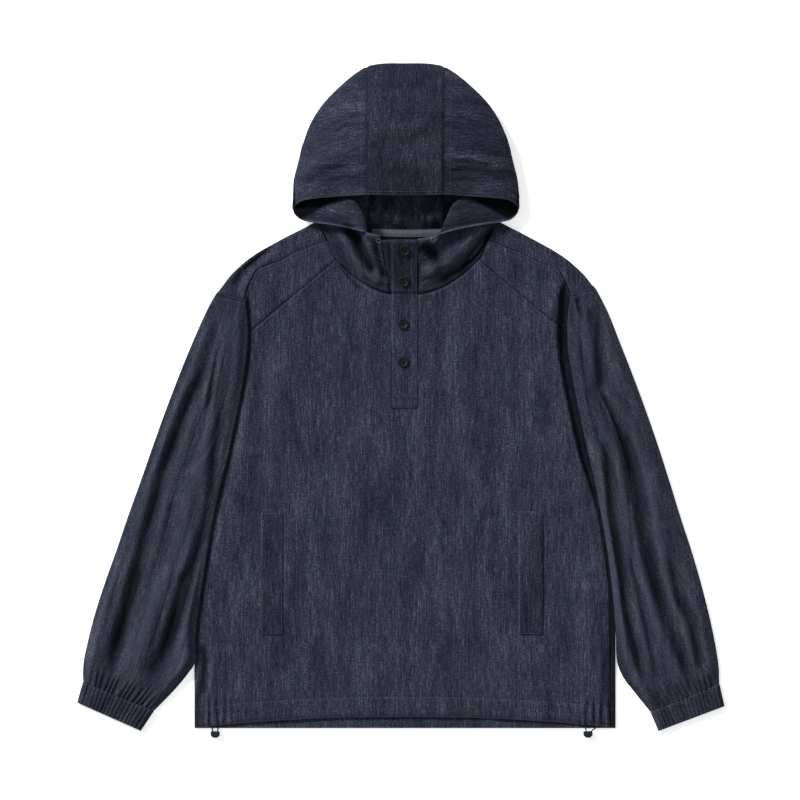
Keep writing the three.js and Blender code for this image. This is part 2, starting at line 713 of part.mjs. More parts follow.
function eyeletGeometry() {
  const top = HOOD_CLOTH / 2 + 0.3;
  const profile = [
    [EYELET.bore, -HOOD_CLOTH / 2 - 0.3], [EYELET.barrel, -HOOD_CLOTH / 2 - 0.3],
    [EYELET.barrel, top], [EYELET.flange, top], [EYELET.flange - 0.4, top + EYELET.flangeDepth],
    [EYELET.barrel, top + EYELET.flangeDepth], [EYELET.bore, top],
    [EYELET.bore, -HOOD_CLOTH / 2 - 0.3],
  ].map(([r, y]) => new THREE.Vector2(r, y));
  return new THREE.LatheGeometry(profile, 16).rotateX(Math.PI / 2);
}

function pierced(panel, name) {
  const { point, turn } = eyeletPlace(name);
  const tool = new THREE.CylinderGeometry(EYELET.hole, EYELET.hole, 8, 12).rotateX(Math.PI / 2);
  return cut(panel, tool.applyQuaternion(turn).translate(...point));
}

// Neck tape over the back neck seam, inside
const TAPE = { left: -47, right: 54, low: 703.5, high: 714, under: 2.3, thickness: 1 };

function neckTape() {
  const grid = [TAPE.low, TAPE.high].map((y) =>
    steps(6).map((f) => {
      const sag = 1.5 * Math.sin(Math.PI * f);
      return [lerp(TAPE.left, TAPE.right, f), y - sag, TAPE.under + TAPE.thickness];
    }),
  );
  return wall(grid, raised(grid, -TAPE.thickness));
}

// Pocket welts, on the level middle of the front
const WELTS = {
  left: { from: -206, to: -174, low: 133, high: 309 },
  right: { from: 162, to: 197, low: 133, high: 311 },
};
const WELT_GAP = 0.3;
const WELT_THICKNESS = 1.4;

function welt(name) {
  const { from, to, low, high } = WELTS[name];
  const bevel = 0.8;
  const rows = [low, low + bevel, high - bevel, high];
  const columns = [from, from + bevel, to - bevel, to];
  const grid = (z) =>
    rows.map((y, r) =>
      columns.map((x, c) => {
        const edge = r % 3 === 0 || c % 3 === 0;
        return [x, y, frontTop(x, y) + WELT_GAP + (edge ? z - Math.min(z, 0.5) : z)];
      }),
    );
  return wall(grid(WELT_THICKNESS), grid(0));
}

// Hem cords: a loop from the hem's channel, pinched in a cord lock
const CORD_RADIUS = 1;
const LOCK = { width: 13, length: 9, height: 7.4, clearance: 0.35 };
const CORD_ROUTES = {
  left: {
    points: [[-277, 16, 3.3], [-276, 3, 3.3], [-274.6, -5, 3.6], [-273.2, -9, 3.7],
      [-271.4, -10.4, 3.7], [-269.6, -9, 3.7], [-268.2, -5, 3.6], [-266.7, 3, 3.3],
      [-266, 16, 3.3]],
    lock: [-271.4, -9],
  },
  right: {
    points: [[257, 17, 3.3], [258, 3.5, 3.3], [259, -5, 3.6], [259.8, -9, 3.7],
      [261.6, -10.4, 3.7], [263.6, -9, 3.7], [265.6, -5, 3.6], [275, 3.5, 3.3], [276, 17, 3.3]],
    lock: [261.4, -8.9],
  },
};

function cordGeometry(name, radius) {
  const points = CORD_ROUTES[name].points.map((point) => new THREE.Vector3(...point));
  const section = new THREE.Shape().absarc(0, 0, radius, 0, 2 * Math.PI);
  return new THREE.ExtrudeGeometry(section, {
    steps: 20,
    curveSegments: 4,
    bevelEnabled: false,
    extrudePath: new THREE.CatmullRomCurve3(points),
  });
}

function cordLock(name) {
  const [x, y] = CORD_ROUTES[name].lock;
  const round = 2.4;
  const [w, l] = [LOCK.width / 2 - round, LOCK.length / 2 - round];
  const outline = new THREE.Shape();
  for (const [sx, sy, from] of [[1, 1, 0], [-1, 1, 1], [-1, -1, 2], [1, -1, 3]]) {
    outline.absarc(sx * w, sy * l, round, (from * Math.PI) / 2, ((from + 1) * Math.PI) / 2);
  }
  outline.closePath();
  const bevel = 0.6;
  const body = new THREE.ExtrudeGeometry(outline, {
    depth: LOCK.height - 2 * bevel,
    curveSegments: 3,
    bevelThickness: bevel,
    bevelSize: bevel,
    bevelOffset: -bevel,
    bevelSegments: 1,
  });
  body.translate(x, y, bevel);
  return cut(body, cordGeometry(name, CORD_RADIUS + LOCK.clearance));
}

// Materials: indigo slub denim, a greyer rib, and the trims
const cloth = (color) => new THREE.MeshStandardMaterial({ color, roughness: 0.93 });
const DENIM = cloth(0x333645);
const HOOD_DENIM = cloth(0x38394b);
const RIB_KNIT = cloth(0x292d38);
const TAPE_CLOTH = cloth(0x646a75);
const CORD = cloth(0x23252c);
const BUTTON_HORN = new THREE.MeshStandardMaterial({ color: 0x201f25, roughness: 0.45 });
const LOCK_PLASTIC = new THREE.MeshStandardMaterial({ color: 0x1d1e22, roughness: 0.5 });
const EYELET_METAL = new THREE.MeshStandardMaterial({
  color: 0x9a9ba0,
  roughness: 0.35,
  metalness: 1,
});

// The garment, centred on its own box
const garment = new THREE.Group();

function piece(name, geometry, material) {
  const mesh = new THREE.Mesh(geometry, material);
  mesh.name = name;
  garment.add(mesh);
  return mesh;
}

piece("back_panel", backPanel(), DENIM);
piece("front_panel", frontPanel(), DENIM);
for (const { name, sign } of SIDES) {
  piece("front_yoke_" + name, frontYoke(sign), DENIM);
  piece("sleeve_" + name, sleeve(sign), DENIM);
  piece("cuff_" + name, cuff(sign), RIB_KNIT);
  piece("welt_" + name, welt(name), DENIM);
}
const rightHood = hoodPanel(0, CROWN_SEAM - SEAM_STEP, 20);
const leftHood = hoodPanel(LAST_PATH - CROWN_SEAM + SEAM_STEP, LAST_PATH, 20);
piece("hood_right", pierced(rightHood, "right"), HOOD_DENIM);
piece("hood_left", pierced(leftHood, "left"), HOOD_DENIM);
piece(
  "hood_centre",
  hoodPanel(CROWN_SEAM + SEAM_STEP, LAST_PATH - CROWN_SEAM - SEAM_STEP, 8),
  HOOD_DENIM,
);
piece("placket_over", placketOver(), DENIM);
piece("placket_under", placketUnder(), DENIM);
piece("neck_tape", neckTape(), TAPE_CLOTH);
const button = buttonGeometry();
BUTTON_PLACES.forEach((place, i) => {
  placeButton(piece("button_" + (i + 1), button, BUTTON_HORN), place);
});
const eyelet = eyeletGeometry();
for (const { name } of SIDES) {
  const mesh = piece("eyelet_" + name, eyelet, EYELET_METAL);
  const { point, turn } = eyeletPlace(name);
  mesh.position.copy(point);
  mesh.quaternion.copy(turn);
  piece("hem_cord_" + name, cordGeometry(name, CORD_RADIUS), CORD);
  piece("cord_lock_" + name, cordLock(name), LOCK_PLASTIC);
}

// The origin goes to the middle of the garment's box, leaving out what is on the cords.
const bounds = new THREE.Box3();
for (const mesh of garment.children) {
  if (!/cord/.test(mesh.name)) bounds.expandByObject(mesh, true);
}
const middle = bounds.getCenter(new THREE.Vector3());
garment.position.set(-middle.x, -middle.y, -bounds.min.z);

export default garment;
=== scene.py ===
# %% [markdown]
# # An anorak pullover in slub denim, laid flat
#
# A hooded half-placket pullover lies on its back on a white table. Its cloth is a dark indigo
# denim with slubs: threads that are thick in places, so that the cloth is streaked along its grain.
# The CAD frame gives every panel its place and size. Here each panel becomes a thin shell of cloth
# with its folds, gathers, seams and stitches, and the hard trims are modelled one by one.
#
# The numbers are those of the cutting pattern, in millimetres: X runs across, from the middle of the
# front, Y runs up from the hem, and Z is the height over the table.

# %% Load the frame
import math

import bpy
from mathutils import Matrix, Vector, noise


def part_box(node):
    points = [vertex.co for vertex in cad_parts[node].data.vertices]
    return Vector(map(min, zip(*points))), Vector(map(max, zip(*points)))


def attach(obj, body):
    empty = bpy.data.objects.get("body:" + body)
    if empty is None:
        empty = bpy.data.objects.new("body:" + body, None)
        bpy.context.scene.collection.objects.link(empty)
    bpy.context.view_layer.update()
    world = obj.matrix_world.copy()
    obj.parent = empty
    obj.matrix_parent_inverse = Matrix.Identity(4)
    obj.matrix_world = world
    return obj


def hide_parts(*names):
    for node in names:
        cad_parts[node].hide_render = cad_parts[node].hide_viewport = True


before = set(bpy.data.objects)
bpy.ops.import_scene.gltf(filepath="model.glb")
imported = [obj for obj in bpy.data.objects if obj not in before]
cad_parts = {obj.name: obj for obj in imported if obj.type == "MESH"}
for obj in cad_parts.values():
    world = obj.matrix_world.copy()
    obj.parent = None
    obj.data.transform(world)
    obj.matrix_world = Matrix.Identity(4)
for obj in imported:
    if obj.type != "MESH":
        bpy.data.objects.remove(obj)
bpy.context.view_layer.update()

bpy.ops.object.select_all(action="DESELECT")

# %% [markdown]
# ## From the pattern to the frame
#
# The frame's origin lies under the middle of the garment, and the pattern's lies at the middle of
# the hem. The back panel tells how far apart they are, because it is level with both.

# %% Places and numbers
BACK_LOW, BACK_HIGH = (Vector(corner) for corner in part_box("back_panel"))
MIDDLE_X = (BACK_LOW.x + BACK_HIGH.x) / 2
HEM_Y = BACK_LOW.y
MM = 0.001


def metres(point):
    """A point of the pattern, in millimetres, as a place in the frame."""
    x, y, z = point
    return Vector((x * MM + MIDDLE_X, y * MM + HEM_Y, z * MM))


print("the middle of the hem, metres:", [round(v, 4) for v in metres((0, 0, 0))])

# %% [markdown]
# ### Small curves
#
# Cloth has few straight lines, so a few short functions shape every piece: a mix of two values, a
# soft step, a bell, and a soft unevenness. The unevenness comes from a fixed noise and not from
# chance, so that each run makes the same garment.


# %% Small curves
def clamp(value, low, high):
    return min(high, max(low, value))


def lerp(a, b, f):
    return a + (b - a) * f


def smooth(t):
    t = clamp(t, 0.0, 1.0)
    return t * t * (3 - 2 * t)


def hump(distance, width):
    return math.exp(-((distance / width) ** 2))


def steps(count):
    return [i / count for i in range(count + 1)]


def rumple(x, y, wide, long, seed):
    """Soft uneven height, from -1 to 1, about wide by long millimetres from hill to hill."""
    return noise.noise(Vector((x / wide, y / long, seed * 7.31)))


def ripples(layers, x, y):
    """Several rumples together: each layer is (height, wide, long, seed)."""
    return sum(height * rumple(x, y, wide, long, seed) for height, wide, long, seed in layers)


print("a bell 5 mm wide is", round(hump(5, 5), 3), "high 5 mm from its middle")

# %% [markdown]
# ### Lines and folds
#
# A maker marks a seam or a crease with a few points on the pattern, and a smooth curve through them
# gives all that lies between. A fold is a soft trough or ridge along such a line. It is highest in
# its middle and uneven, and a low shoulder stands on each side of it, where the cloth is pushed.

# %% Lines and folds
FOLD_REACH = 3.2  # a fold ends this many widths from its line
FOLD_ENDS = 0.14  # the share of the line over which it fades in and out
SHOULDER_SHARE = 0.35
SHOULDER_PLACE = 2.1


def between(rows, t):
    """Catmull-Rom through the rows of a table, t rows after its first."""
    last = len(rows) - 1
    i = int(clamp(math.floor(t), 0, last - 1))
    f = t - i
    near = [rows[int(clamp(k, 0, last))] for k in (i - 1, i, i + 1, i + 2)]
    made = []
    for a, b, c, d in zip(*near):
        bend = 2 * a - 5 * b + 4 * c - d + (3 * b - a - 3 * c + d) * f
        made.append(0.5 * (2 * b + (c - a) * f + bend * f * f))
    return made


def row_at(rows, column, value):
    """How many rows after the first a column reaches a value."""
    way = 1 if rows[1][column] > rows[0][column] else -1
    i = 0
    while i < len(rows) - 2 and way * value > way * rows[i + 1][column]:
        i += 1
    start = rows[i][column]
    return i + clamp((value - start) / (rows[i + 1][column] - start), 0, 1)


def distance_to(line, x, y):
    """The distance from a point to a line of points, and how far along the line it lies, 0 to 1."""
    best = (1e9, 0.0)
    for i, ((ax, ay), (bx, by)) in enumerate(zip(line, line[1:])):
        length2 = (bx - ax) ** 2 + (by - ay) ** 2
        f = clamp(((x - ax) * (bx - ax) + (y - ay) * (by - ay)) / length2, 0, 1)
        away = math.hypot(x - lerp(ax, bx, f), y - lerp(ay, by, f))
        best = min(best, (away, (i + f) / (len(line) - 1)))
    return best


def creases(folds, x, y):
    """The height that a list of folds adds at a point: each is (height, width, line of points)."""
    total = 0.0
    for height, width, line in folds:
        away, along = distance_to(line, x, y)
        if away > FOLD_REACH * width:
            continue
        ends = smooth(along / FOLD_ENDS) * smooth((1 - along) / FOLD_ENDS)
        uneven = 0.75 + 0.35 * rumple(x, y, 40, 40, width)
        shoulder = SHOULDER_SHARE * hump(away - SHOULDER_PLACE * width, width)
        total += height * ends * uneven * (hump(away, width) - shoulder)
    return total


sample = creases([(-4, 6, [(0, -50), (0, 50)])], 0, 0)
print("a fold 4 mm deep and 6 mm wide lies at", round(sample, 2), "mm in its middle")

# %% [markdown]
# ## The camera and the light
#
# The photograph looks straight down on the garment, with a long lens, so nothing leans outwards.
# One pixel of it is 1.43 mm on the table, so the lens and the sensor give the camera's height.

# %% The camera
PIXEL_MM = 1.43
PHOTO_SIZE = 800
PHOTO_MIDDLE = (405, 728)  # the pixel at the middle of the hem


def from_photo(px, py, z=0.0):
    """A pixel of the photograph as a point of the pattern."""
    return ((px - PHOTO_MIDDLE[0]) * PIXEL_MM, (PHOTO_MIDDLE[1] - py) * PIXEL_MM, z)


LENS_MM = 250
SENSOR_MM = 36
camera_data = bpy.data.cameras.new("camera")
camera_data.lens = LENS_MM
camera_data.sensor_width = SENSOR_MM
camera_data.clip_end = 50
camera = bpy.data.objects.new("camera", camera_data)
bpy.context.scene.collection.objects.link(camera)
centre = metres(from_photo(PHOTO_SIZE / 2, PHOTO_SIZE / 2))
camera.location = (centre.x, centre.y, PHOTO_SIZE * PIXEL_MM * MM * LENS_MM / SENSOR_MM)
bpy.context.scene.camera = camera
bpy.context.scene.view_settings.view_transform = "Standard"
print("the camera stands", round(camera.location.z, 2), "metres over the table")

# %% [markdown]
# ### Light and table
#
# The light is a studio's: a bright room all round, and a broad lamp beyond the hood, at the left,
# which draws the folds. A weak second lamp opens the shadows. The garment lies on a white table.


# %% Light and table
def lamp(name, kind, energy, place, aim, **settings):
    light = bpy.data.lights.new(name, kind)
    light.energy = energy
    for key, value in settings.items():
        setattr(light, key, value)
    obj = bpy.data.objects.new(name, light)
    obj.location = place
    obj.rotation_euler = (Vector(aim) - Vector(place)).to_track_quat("-Z", "Y").to_euler()
    bpy.context.scene.collection.objects.link(obj)


lamp("key_sun", "SUN", 5.4, (-1.35, 1.3, 1.12), (0, 0, 0), angle=math.radians(14))
lamp("fill_sun", "SUN", 0.3, (1.5, -0.8, 2.4), (0, 0, 0), angle=math.radians(40))
world = bpy.data.worlds.new("bright_room")
world.use_nodes = True
world.node_tree.nodes["Background"].inputs["Color"].default_value = (0.97, 0.98, 1.0, 1)
world.node_tree.nodes["Background"].inputs["Strength"].default_value = 0.4
bpy.context.scene.world = world

TABLE_SIZE = 9
TABLE_TOP = -0.0006  # metres: a hair under the cloth
bpy.ops.mesh.primitive_plane_add(size=TABLE_SIZE, location=(0, 0, TABLE_TOP))
table = bpy.context.object
table.name = "table"
bpy.ops.object.select_all(action="DESELECT")

# %% [markdown]
# ## Materials
#
# Each finish is a small net of nodes. One function adds a node with its settings and links, and one
# turns a colour as a painter writes it, in hex, to the linear numbers that Blender mixes.


# %% Helpers for materials
def linear(hex_colour):
    """An sRGB hex colour as linear red, green, blue and alpha."""
    made = []
    for k in (1, 3, 5):
        value = int(hex_colour[k : k + 2], 16) / 255
        made.append(value / 12.92 if value <= 0.04045 else ((value + 0.055) / 1.055) ** 2.4)
    return (*made, 1.0)


def add_node(tree, kind, inputs=None, stops=(), **settings):
    """A node of that kind; inputs gives each socket a value or another node's output.

    stops are the places and hex colours of a colour ramp.
    """
    node = tree.nodes.new(kind)
    for key, value in settings.items():
        setattr(node, key, value)
    for key, value in (inputs or {}).items():
        if isinstance(value, bpy.types.NodeSocket):
            tree.links.new(value, node.inputs[key])
        else:
            node.inputs[key].default_value = value
    if stops:
        band = node.color_ramp.elements
        while len(band) < len(stops):
            band.new(0.5)
        for element, (place, colour) in zip(band, stops):
            element.position = place
            element.color = linear(colour)
    return node


def new_material(name, roughness, **sockets):
    """A material with a Principled BSDF, whose even values are set on its own sockets."""
    material = bpy.data.materials.new(name)
    material.use_nodes = True
    shader = material.node_tree.nodes["Principled BSDF"]
    shader.inputs["Roughness"].default_value = roughness
    for key, value in sockets.items():
        shader.inputs[key.replace("_", " ")].default_value = value
    return material, material.node_tree, shader


def finish_surface(tree, shader, colour, height, strength, depth_m):
    """Links a colour and a height, depth_m metres deep, to the shader."""
    relief = add_node(
        tree, "ShaderNodeBump", {"Strength": strength, "Distance": depth_m, "Height": height},
    )
    tree.links.new(colour, shader.inputs["Base Color"])
    tree.links.new(relief.outputs["Normal"], shader.inputs["Normal"])


print("mid grey in linear numbers:", [round(v, 3) for v in linear("#808080")])

# %% [markdown]
# ### Slub denim
#
# Denim is woven with an indigo warp along the grain and an undyed weft across it. In slub denim the
# warp threads swell and thin, which gives streaks 2 to 4 mm wide and 20 to 90 mm long. The weft
# shows between them as short pale flecks. The real threads stand 0.5 mm apart, too fine for this
# picture, so the finest noise here is drawn about 1 mm wide. The pattern follows each panel's own
# UV map, laid out in metres of cloth with V along the grain, so it turns with the panel.


# %% Slub denim
# the size of a spot of noise across the grain and along it, in millimetres of cloth
THREAD_SPOT = (1.6, 13)
WEFT_SPOT = (6, 1.8)
SPECK_SPOT = (1.6, 2.4)
PATCH_SPOT = (26, 110)
HUE_SPOT = (11, 38)
# indigo is never one blue: it turns a little green, red or violet from spot to spot
HUES = [(0.32, "#e2ecf2"), (0.45, "#f5f1ec"), (0.55, "#efe7f8"), (0.68, "#f9f1e8")]
# the pale colour is partly rubbed wear and partly painted highlight; the near black is painted shade
PALE_WEAR_AND_HIGHLIGHT = "#5d6170"
PAINTED_SHADE_COLOUR = "#07080c"


def stretched_noise(tree, uv, spot, detail, seed):
    """Noise whose spots have that size in millimetres, across the grain and along it."""
    across, along = (value * MM for value in spot)
    shifted = add_node(
        tree, "ShaderNodeMapping",
        {"Vector": uv, "Location": (seed * 3.7, seed * 1.9, 0), "Scale": (1 / across, 1 / along, 1)},
    )
    made = add_node(
        tree, "ShaderNodeTexNoise",
        {"Vector": shifted.outputs["Vector"], "Scale": 1.0, "Detail": detail, "Roughness": 0.6},
        noise_dimensions="2D",
    )
    return made.outputs["Fac"]


def slub_denim(name, stops, slub, yarn=(2.8, 42)):
    """Denim with slubs: stops run from the darkest streak to the palest, yarn is a streak's size."""
    material, tree, shader = new_material(name, 0.92, Specular_IOR_Level=0.06)
    uv = add_node(tree, "ShaderNodeUVMap", uv_map="cloth").outputs["UV"]
    streak = stretched_noise(tree, uv, yarn, 3.0, 1)
    thread = stretched_noise(tree, uv, THREAD_SPOT, 2.0, 2)
    weft = stretched_noise(tree, uv, WEFT_SPOT, 2.0, 3)
    speck = stretched_noise(tree, uv, SPECK_SPOT, 1.0, 6)
    patch = stretched_noise(tree, uv, PATCH_SPOT, 3.0, 4)
    shares = ((streak, slub), (thread, 0.2 + 0.7 * slub), (weft, 0.3), (speck, 0.5), (patch, 0.4))
    total = 0.5 - 0.5 * sum(share for _, share in shares)
    for spot, share in shares:
        total = add_node(
            tree, "ShaderNodeMath", {0: spot, 1: share, 2: total}, operation="MULTIPLY_ADD",
        ).outputs[0]
    colour = add_node(tree, "ShaderNodeValToRGB", {"Fac": total}, stops).outputs["Color"]
    hue = stretched_noise(tree, uv, HUE_SPOT, 3.0, 5)
    tint = add_node(tree, "ShaderNodeValToRGB", {"Fac": hue}, HUES).outputs["Color"]
    dyed = add_node(
        tree, "ShaderNodeMix", {0: 1.0, 6: colour, 7: tint}, data_type="RGBA", blend_type="MULTIPLY",
    ).outputs[2]
    # the tone of wear and shading: above 0 it mixes towards the pale colour, below 0 towards the near
    # black of painted shade
    wear_and_shading = add_node(tree, "ShaderNodeAttribute", attribute_name="wear_and_shading").outputs["Fac"]
    for share, end in ((0.36, PALE_WEAR_AND_HIGHLIGHT), (-0.8, PAINTED_SHADE_COLOUR)):
        amount = add_node(tree, "ShaderNodeMath", {0: wear_and_shading, 1: share}, operation="MULTIPLY")
        dyed = add_node(
            tree, "ShaderNodeMix", {0: amount.outputs[0], 6: dyed, 7: linear(end)}, data_type="RGBA",
        ).outputs[2]
    height = thread
    for spot, share in ((weft, 0.8), (streak, 1.2)):
        height = add_node(
            tree, "ShaderNodeMath", {0: spot, 1: share, 2: height}, operation="MULTIPLY_ADD",
        ).outputs[0]
    finish_surface(tree, shader, dyed, height, 0.5, 0.0007)
    return material


# The body is cut with its grain upright, and its long pale slubs show best.
DENIM = slub_denim(
    "slub_denim", [(0.22, "#12141d"), (0.46, "#272a37"), (0.58, "#333744"), (0.84, "#575c69")], 0.42,
)
# The sleeves' cloth is the same, but its folds break the streaks up, so they look finer.
SLEEVE_DENIM = slub_denim(
    "slub_denim_sleeve",
    [(0.2, "#12141d"), (0.46, "#262a37"), (0.58, "#31353f"), (0.82, "#535762")], 0.26, (2.2, 30),
)
# The hood's sides are cut across the grain: the streaks lie level, and are short.
HOOD_DENIM = slub_denim(
    "slub_denim_across",
    [(0.2, "#12141d"), (0.46, "#252835"), (0.58, "#313542"), (0.8, "#585c69")], 0.36, (1.9, 24),
)
# Drawn together over elastic, the denim of the cuffs looks even, and it is painted a little darker for
# the shade between its ribs.
RIB_DENIM = slub_denim(
    "shirred_denim", [(0.24, "#0e1118"), (0.5, "#242833"), (0.78, "#4b505d")], 0.2,
)
print("denims:", [cloth.name for cloth in (DENIM, SLEEVE_DENIM, HOOD_DENIM, RIB_DENIM)])

# %% [markdown]
# ### Thread, button, metal and nylon
#
# Polyester thread is a little glossier than the cloth. The buttons are cast polyester resin,
# tumbled to a soft gloss. The eyelets are brass, pressed, nickel-plated and left dull, and the cord
# locks are moulded nylon. Each is one colour with a fine grain, so one function makes them all.


# %% Thread, button, metal and nylon
def plain_finish(name, colour, roughness, grain_mm, depth_mm, **sockets):
    """An even colour with a fine grain in its height, on Object coordinates."""
    material, tree, shader = new_material(name, roughness, **sockets)
    place = add_node(tree, "ShaderNodeTexCoord").outputs["Object"]
    grain = add_node(
        tree, "ShaderNodeTexNoise", {"Vector": place, "Scale": 1 / (grain_mm * MM), "Detail": 3.0},
    ).outputs["Fac"]
    dark = [channel * 0.8 for channel in linear(colour)[:3]]
    mixed = add_node(
        tree, "ShaderNodeMix", {0: grain, 6: (*dark, 1.0), 7: linear(colour)}, data_type="RGBA",
    )
    finish_surface(tree, shader, mixed.outputs[2], grain, 0.4, depth_mm * MM)
    return material


# spun thread, close to the cloth's blue: it catches the light in dots
THREAD = plain_finish("polyester_thread", "#454b60", 0.6, 0.6, 0.1, Specular_IOR_Level=0.2)
# the same thread in near black, for the buttons
DARK_THREAD = plain_finish("dark_thread", "#14151b", 0.6, 0.6, 0.1, Specular_IOR_Level=0.2)
# cast resin: dark, with a broad soft light on the rim
RESIN = plain_finish("polyester_resin", "#0a0c12", 0.54, 4, 0.03, Specular_IOR_Level=0.24)
# moulded nylon: black, with the fine texture of its mould
NYLON = plain_finish("moulded_nylon", "#101114", 0.55, 1.2, 0.04, Specular_IOR_Level=0.3)
# dull nickel plate: a grey metal that shows as a thin pale ring
NICKEL = plain_finish("nickel_plate", "#5e5e5c", 0.4, 2, 0.02, Metallic=1.0)
print("plain finishes:", [m.name for m in (THREAD, DARK_THREAD, RESIN, NYLON, NICKEL)])

# %% [markdown]
# ### Tape and cord
#
# The neck tape is a herringbone twill: slanting ribs that turn back every 5 mm. The hem's cord is a
# braid over rubber: two sets of strands that cross round it. Both patterns are sine waves on the
# piece's own UV map, so they follow it round every bend. A rib is 1.6 mm and a strand 2.2 mm here,
# about twice the real size, so that they still show.

# %% Tape and cord
RIB_MM = 1.6
HERRINGBONE_MM = 5
STRAND_MM = 2.2
STRANDS_ROUND = 4


def wave_finish(name, roughness, gloss, waves, stops, strength, depth_mm):
    """Ribs where sines of the cloth's UV map are high; waves gives each one's turns for u and v."""
    material, tree, shader = new_material(name, roughness, Specular_IOR_Level=gloss)
    uv = add_node(tree, "ShaderNodeUVMap", uv_map="cloth").outputs["UV"]
    parts = add_node(tree, "ShaderNodeSeparateXYZ", {0: uv}).outputs
    high = None
    for fold, across, along in waves:
        u = parts["X"]
        if fold:
            u = add_node(tree, "ShaderNodeMath", {0: u, 1: fold}, operation="PINGPONG").outputs[0]
        turns = add_node(tree, "ShaderNodeMath", {0: u, 1: across}, operation="MULTIPLY").outputs[0]
        turns = add_node(
            tree, "ShaderNodeMath", {0: parts["Y"], 1: along, 2: turns}, operation="MULTIPLY_ADD",
        ).outputs[0]
        wave = add_node(tree, "ShaderNodeMath", {0: turns}, operation="SINE").outputs[0]
        if high is not None:
            wave = add_node(tree, "ShaderNodeMath", {0: high, 1: wave}, operation="MAXIMUM").outputs[0]
        high = wave
    share = add_node(
        tree, "ShaderNodeMath", {0: high, 1: 0.5, 2: 0.5}, operation="MULTIPLY_ADD",
    ).outputs[0]
    colour = add_node(tree, "ShaderNodeValToRGB", {"Fac": share}, stops).outputs["Color"]
    finish_surface(tree, shader, colour, share, strength, depth_mm * MM)
    return material


TURN = 2 * math.pi
RIB = TURN / (RIB_MM * MM)
STRAND = TURN / (STRAND_MM * MM)
# pale grey cotton twill, matt: the light line in the hood's shadow
TWILL_TAPE = wave_finish(
    "twill_tape", 0.85, 0.15, [(HERRINGBONE_MM * MM, RIB, RIB)],
    [(0.0, "#33383f"), (1.0, "#5c636c")], 0.6, 0.3,
)
# black braid: small bright crossings on a dark round cord
BRAID = wave_finish(
    "braided_cord", 0.8, 0.2, [(0, STRANDS_ROUND * TURN, STRAND), (0, -STRANDS_ROUND * TURN, STRAND)],
    [(0.1, "#0a0a0f"), (1.0, "#24262c")], 0.7, 0.4,
)
print("patterned finishes:", TWILL_TAPE.name, BRAID.name)

# %% [markdown]
# ### The table's finish
#
# A studio lights a white table from all sides until it is as bright as paper. Here the table gives
# off a little light of its own, which does the same and leaves the garment's soft shadow.

# %% The table's finish
WHITE_TABLE, _, table_shader = new_material("white_table", 0.9)
table_shader.inputs["Base Color"].default_value = linear("#fbfbfb")
table_shader.inputs["Emission Color"].default_value = linear("#ffffff")
table_shader.inputs["Emission Strength"].default_value = 0.5
table.data.materials.append(WHITE_TABLE)
print(table.name, "finished in", WHITE_TABLE.name)

# %% [markdown]
# ## Cloth from rows of points
#
# A panel of cloth is a grid of points: its rows run one way over the panel and its columns the other.
# It could be sculpted or simulated, but this garment has to lie exactly where the frame says, with
# its own few folds, so each point's height is worked out. The grid becomes a mesh with a UV map in
# metres of cloth, and Solidify gives it the cloth's thickness.
#
# Where a panel is turned in at a seam, its edge rolls down, and the layers inside make it swell
# beside the stitches. turn_edges does that. It also records each edge's tone: pale where it stands
# out, partly rubbed wear and partly painted highlight, or painted shade where another piece shades it.

# %% Helpers for cloth
DENIM_MM = 1.1  # the shell; the real cloth is thinner but doubled at its seams
EDGE_REACH = 16  # what happens at an edge ends this far in, in millimetres
SWELL_PLACE = 5  # the layers turned in are thickest here
SWELL_WIDTH = 3.6
ROLL_WIDTH = 1.5
# an edge's wear and painted shade stay at full strength this far in, in millimetres
EDGE_TONE_FLAT = 0.8
# painted highlight on a fold's ridge, as a share of the painted shade in its bottom
RIDGE_PAINTED_HIGHLIGHT = 0.35


def side_distances(rows, side):
    """How far each point lies from one side of its grid, measured over the cloth."""
    if side in ("left", "right"):
        columns = [list(column) for column in zip(*rows)]
        turned = side_distances(columns, "first" if side == "left" else "last")
        return [list(column) for column in zip(*turned)]
    order = rows if side == "first" else rows[::-1]
    made = [[0.0] * len(rows[0])]
    for before, row in zip(order, order[1:]):
        made.append([
            d + (Vector(here) - Vector(there)).length for d, here, there in zip(made[-1], row, before)
        ])
    return made if side == "first" else made[::-1]


def turn_edges(rows, turned, roll=1.0, swell=0.55, lift=None):
    """Rolls a grid's edges down and swells them; turned gives each side's tone: -1 is painted shade, 1 is
    pale, with wear and painted highlight.

    lift is the direction of each point's normal, or straight up where it is left out.
    """
    wear_and_shading = [[0.0] * len(row) for row in rows]
    moved = [[list(point) for point in row] for row in rows]
    for side, wear_and_shade_tone in turned.items():
        away = side_distances(rows, side)
        for r, row in enumerate(rows):
            for c in range(len(row)):
                d = away[r][c]
                if d > EDGE_REACH:
                    continue
                height = swell * hump(d - SWELL_PLACE, SWELL_WIDTH)
                height -= (roll + swell * hump(SWELL_PLACE, SWELL_WIDTH)) * hump(d, ROLL_WIDTH)
                normal = lift[r][c] if lift else (0, 0, 1)
                for k in range(3):
                    moved[r][c][k] += height * normal[k]
                mark = wear_and_shade_tone * hump(max(0.0, d - EDGE_TONE_FLAT), ROLL_WIDTH)
                if abs(mark) > abs(wear_and_shading[r][c]):
                    wear_and_shading[r][c] = mark
    return moved, wear_and_shading


def normals_of(rows, way=1):
    """The unit normal at each point of a grid; way -1 turns them round."""
    made = []
    last_row = len(rows) - 1
    last = len(rows[0]) - 1
    for r in range(len(rows)):
        line = []
        for c in range(len(rows[0])):
            along = Vector(rows[min(r + 1, last_row)][c]) - Vector(rows[max(r - 1, 0)][c])
            across = Vector(rows[r][min(c + 1, last)]) - Vector(rows[r][max(c - 1, 0)])
            line.append(across.cross(along).normalized() * way)
        made.append(line)
    return made


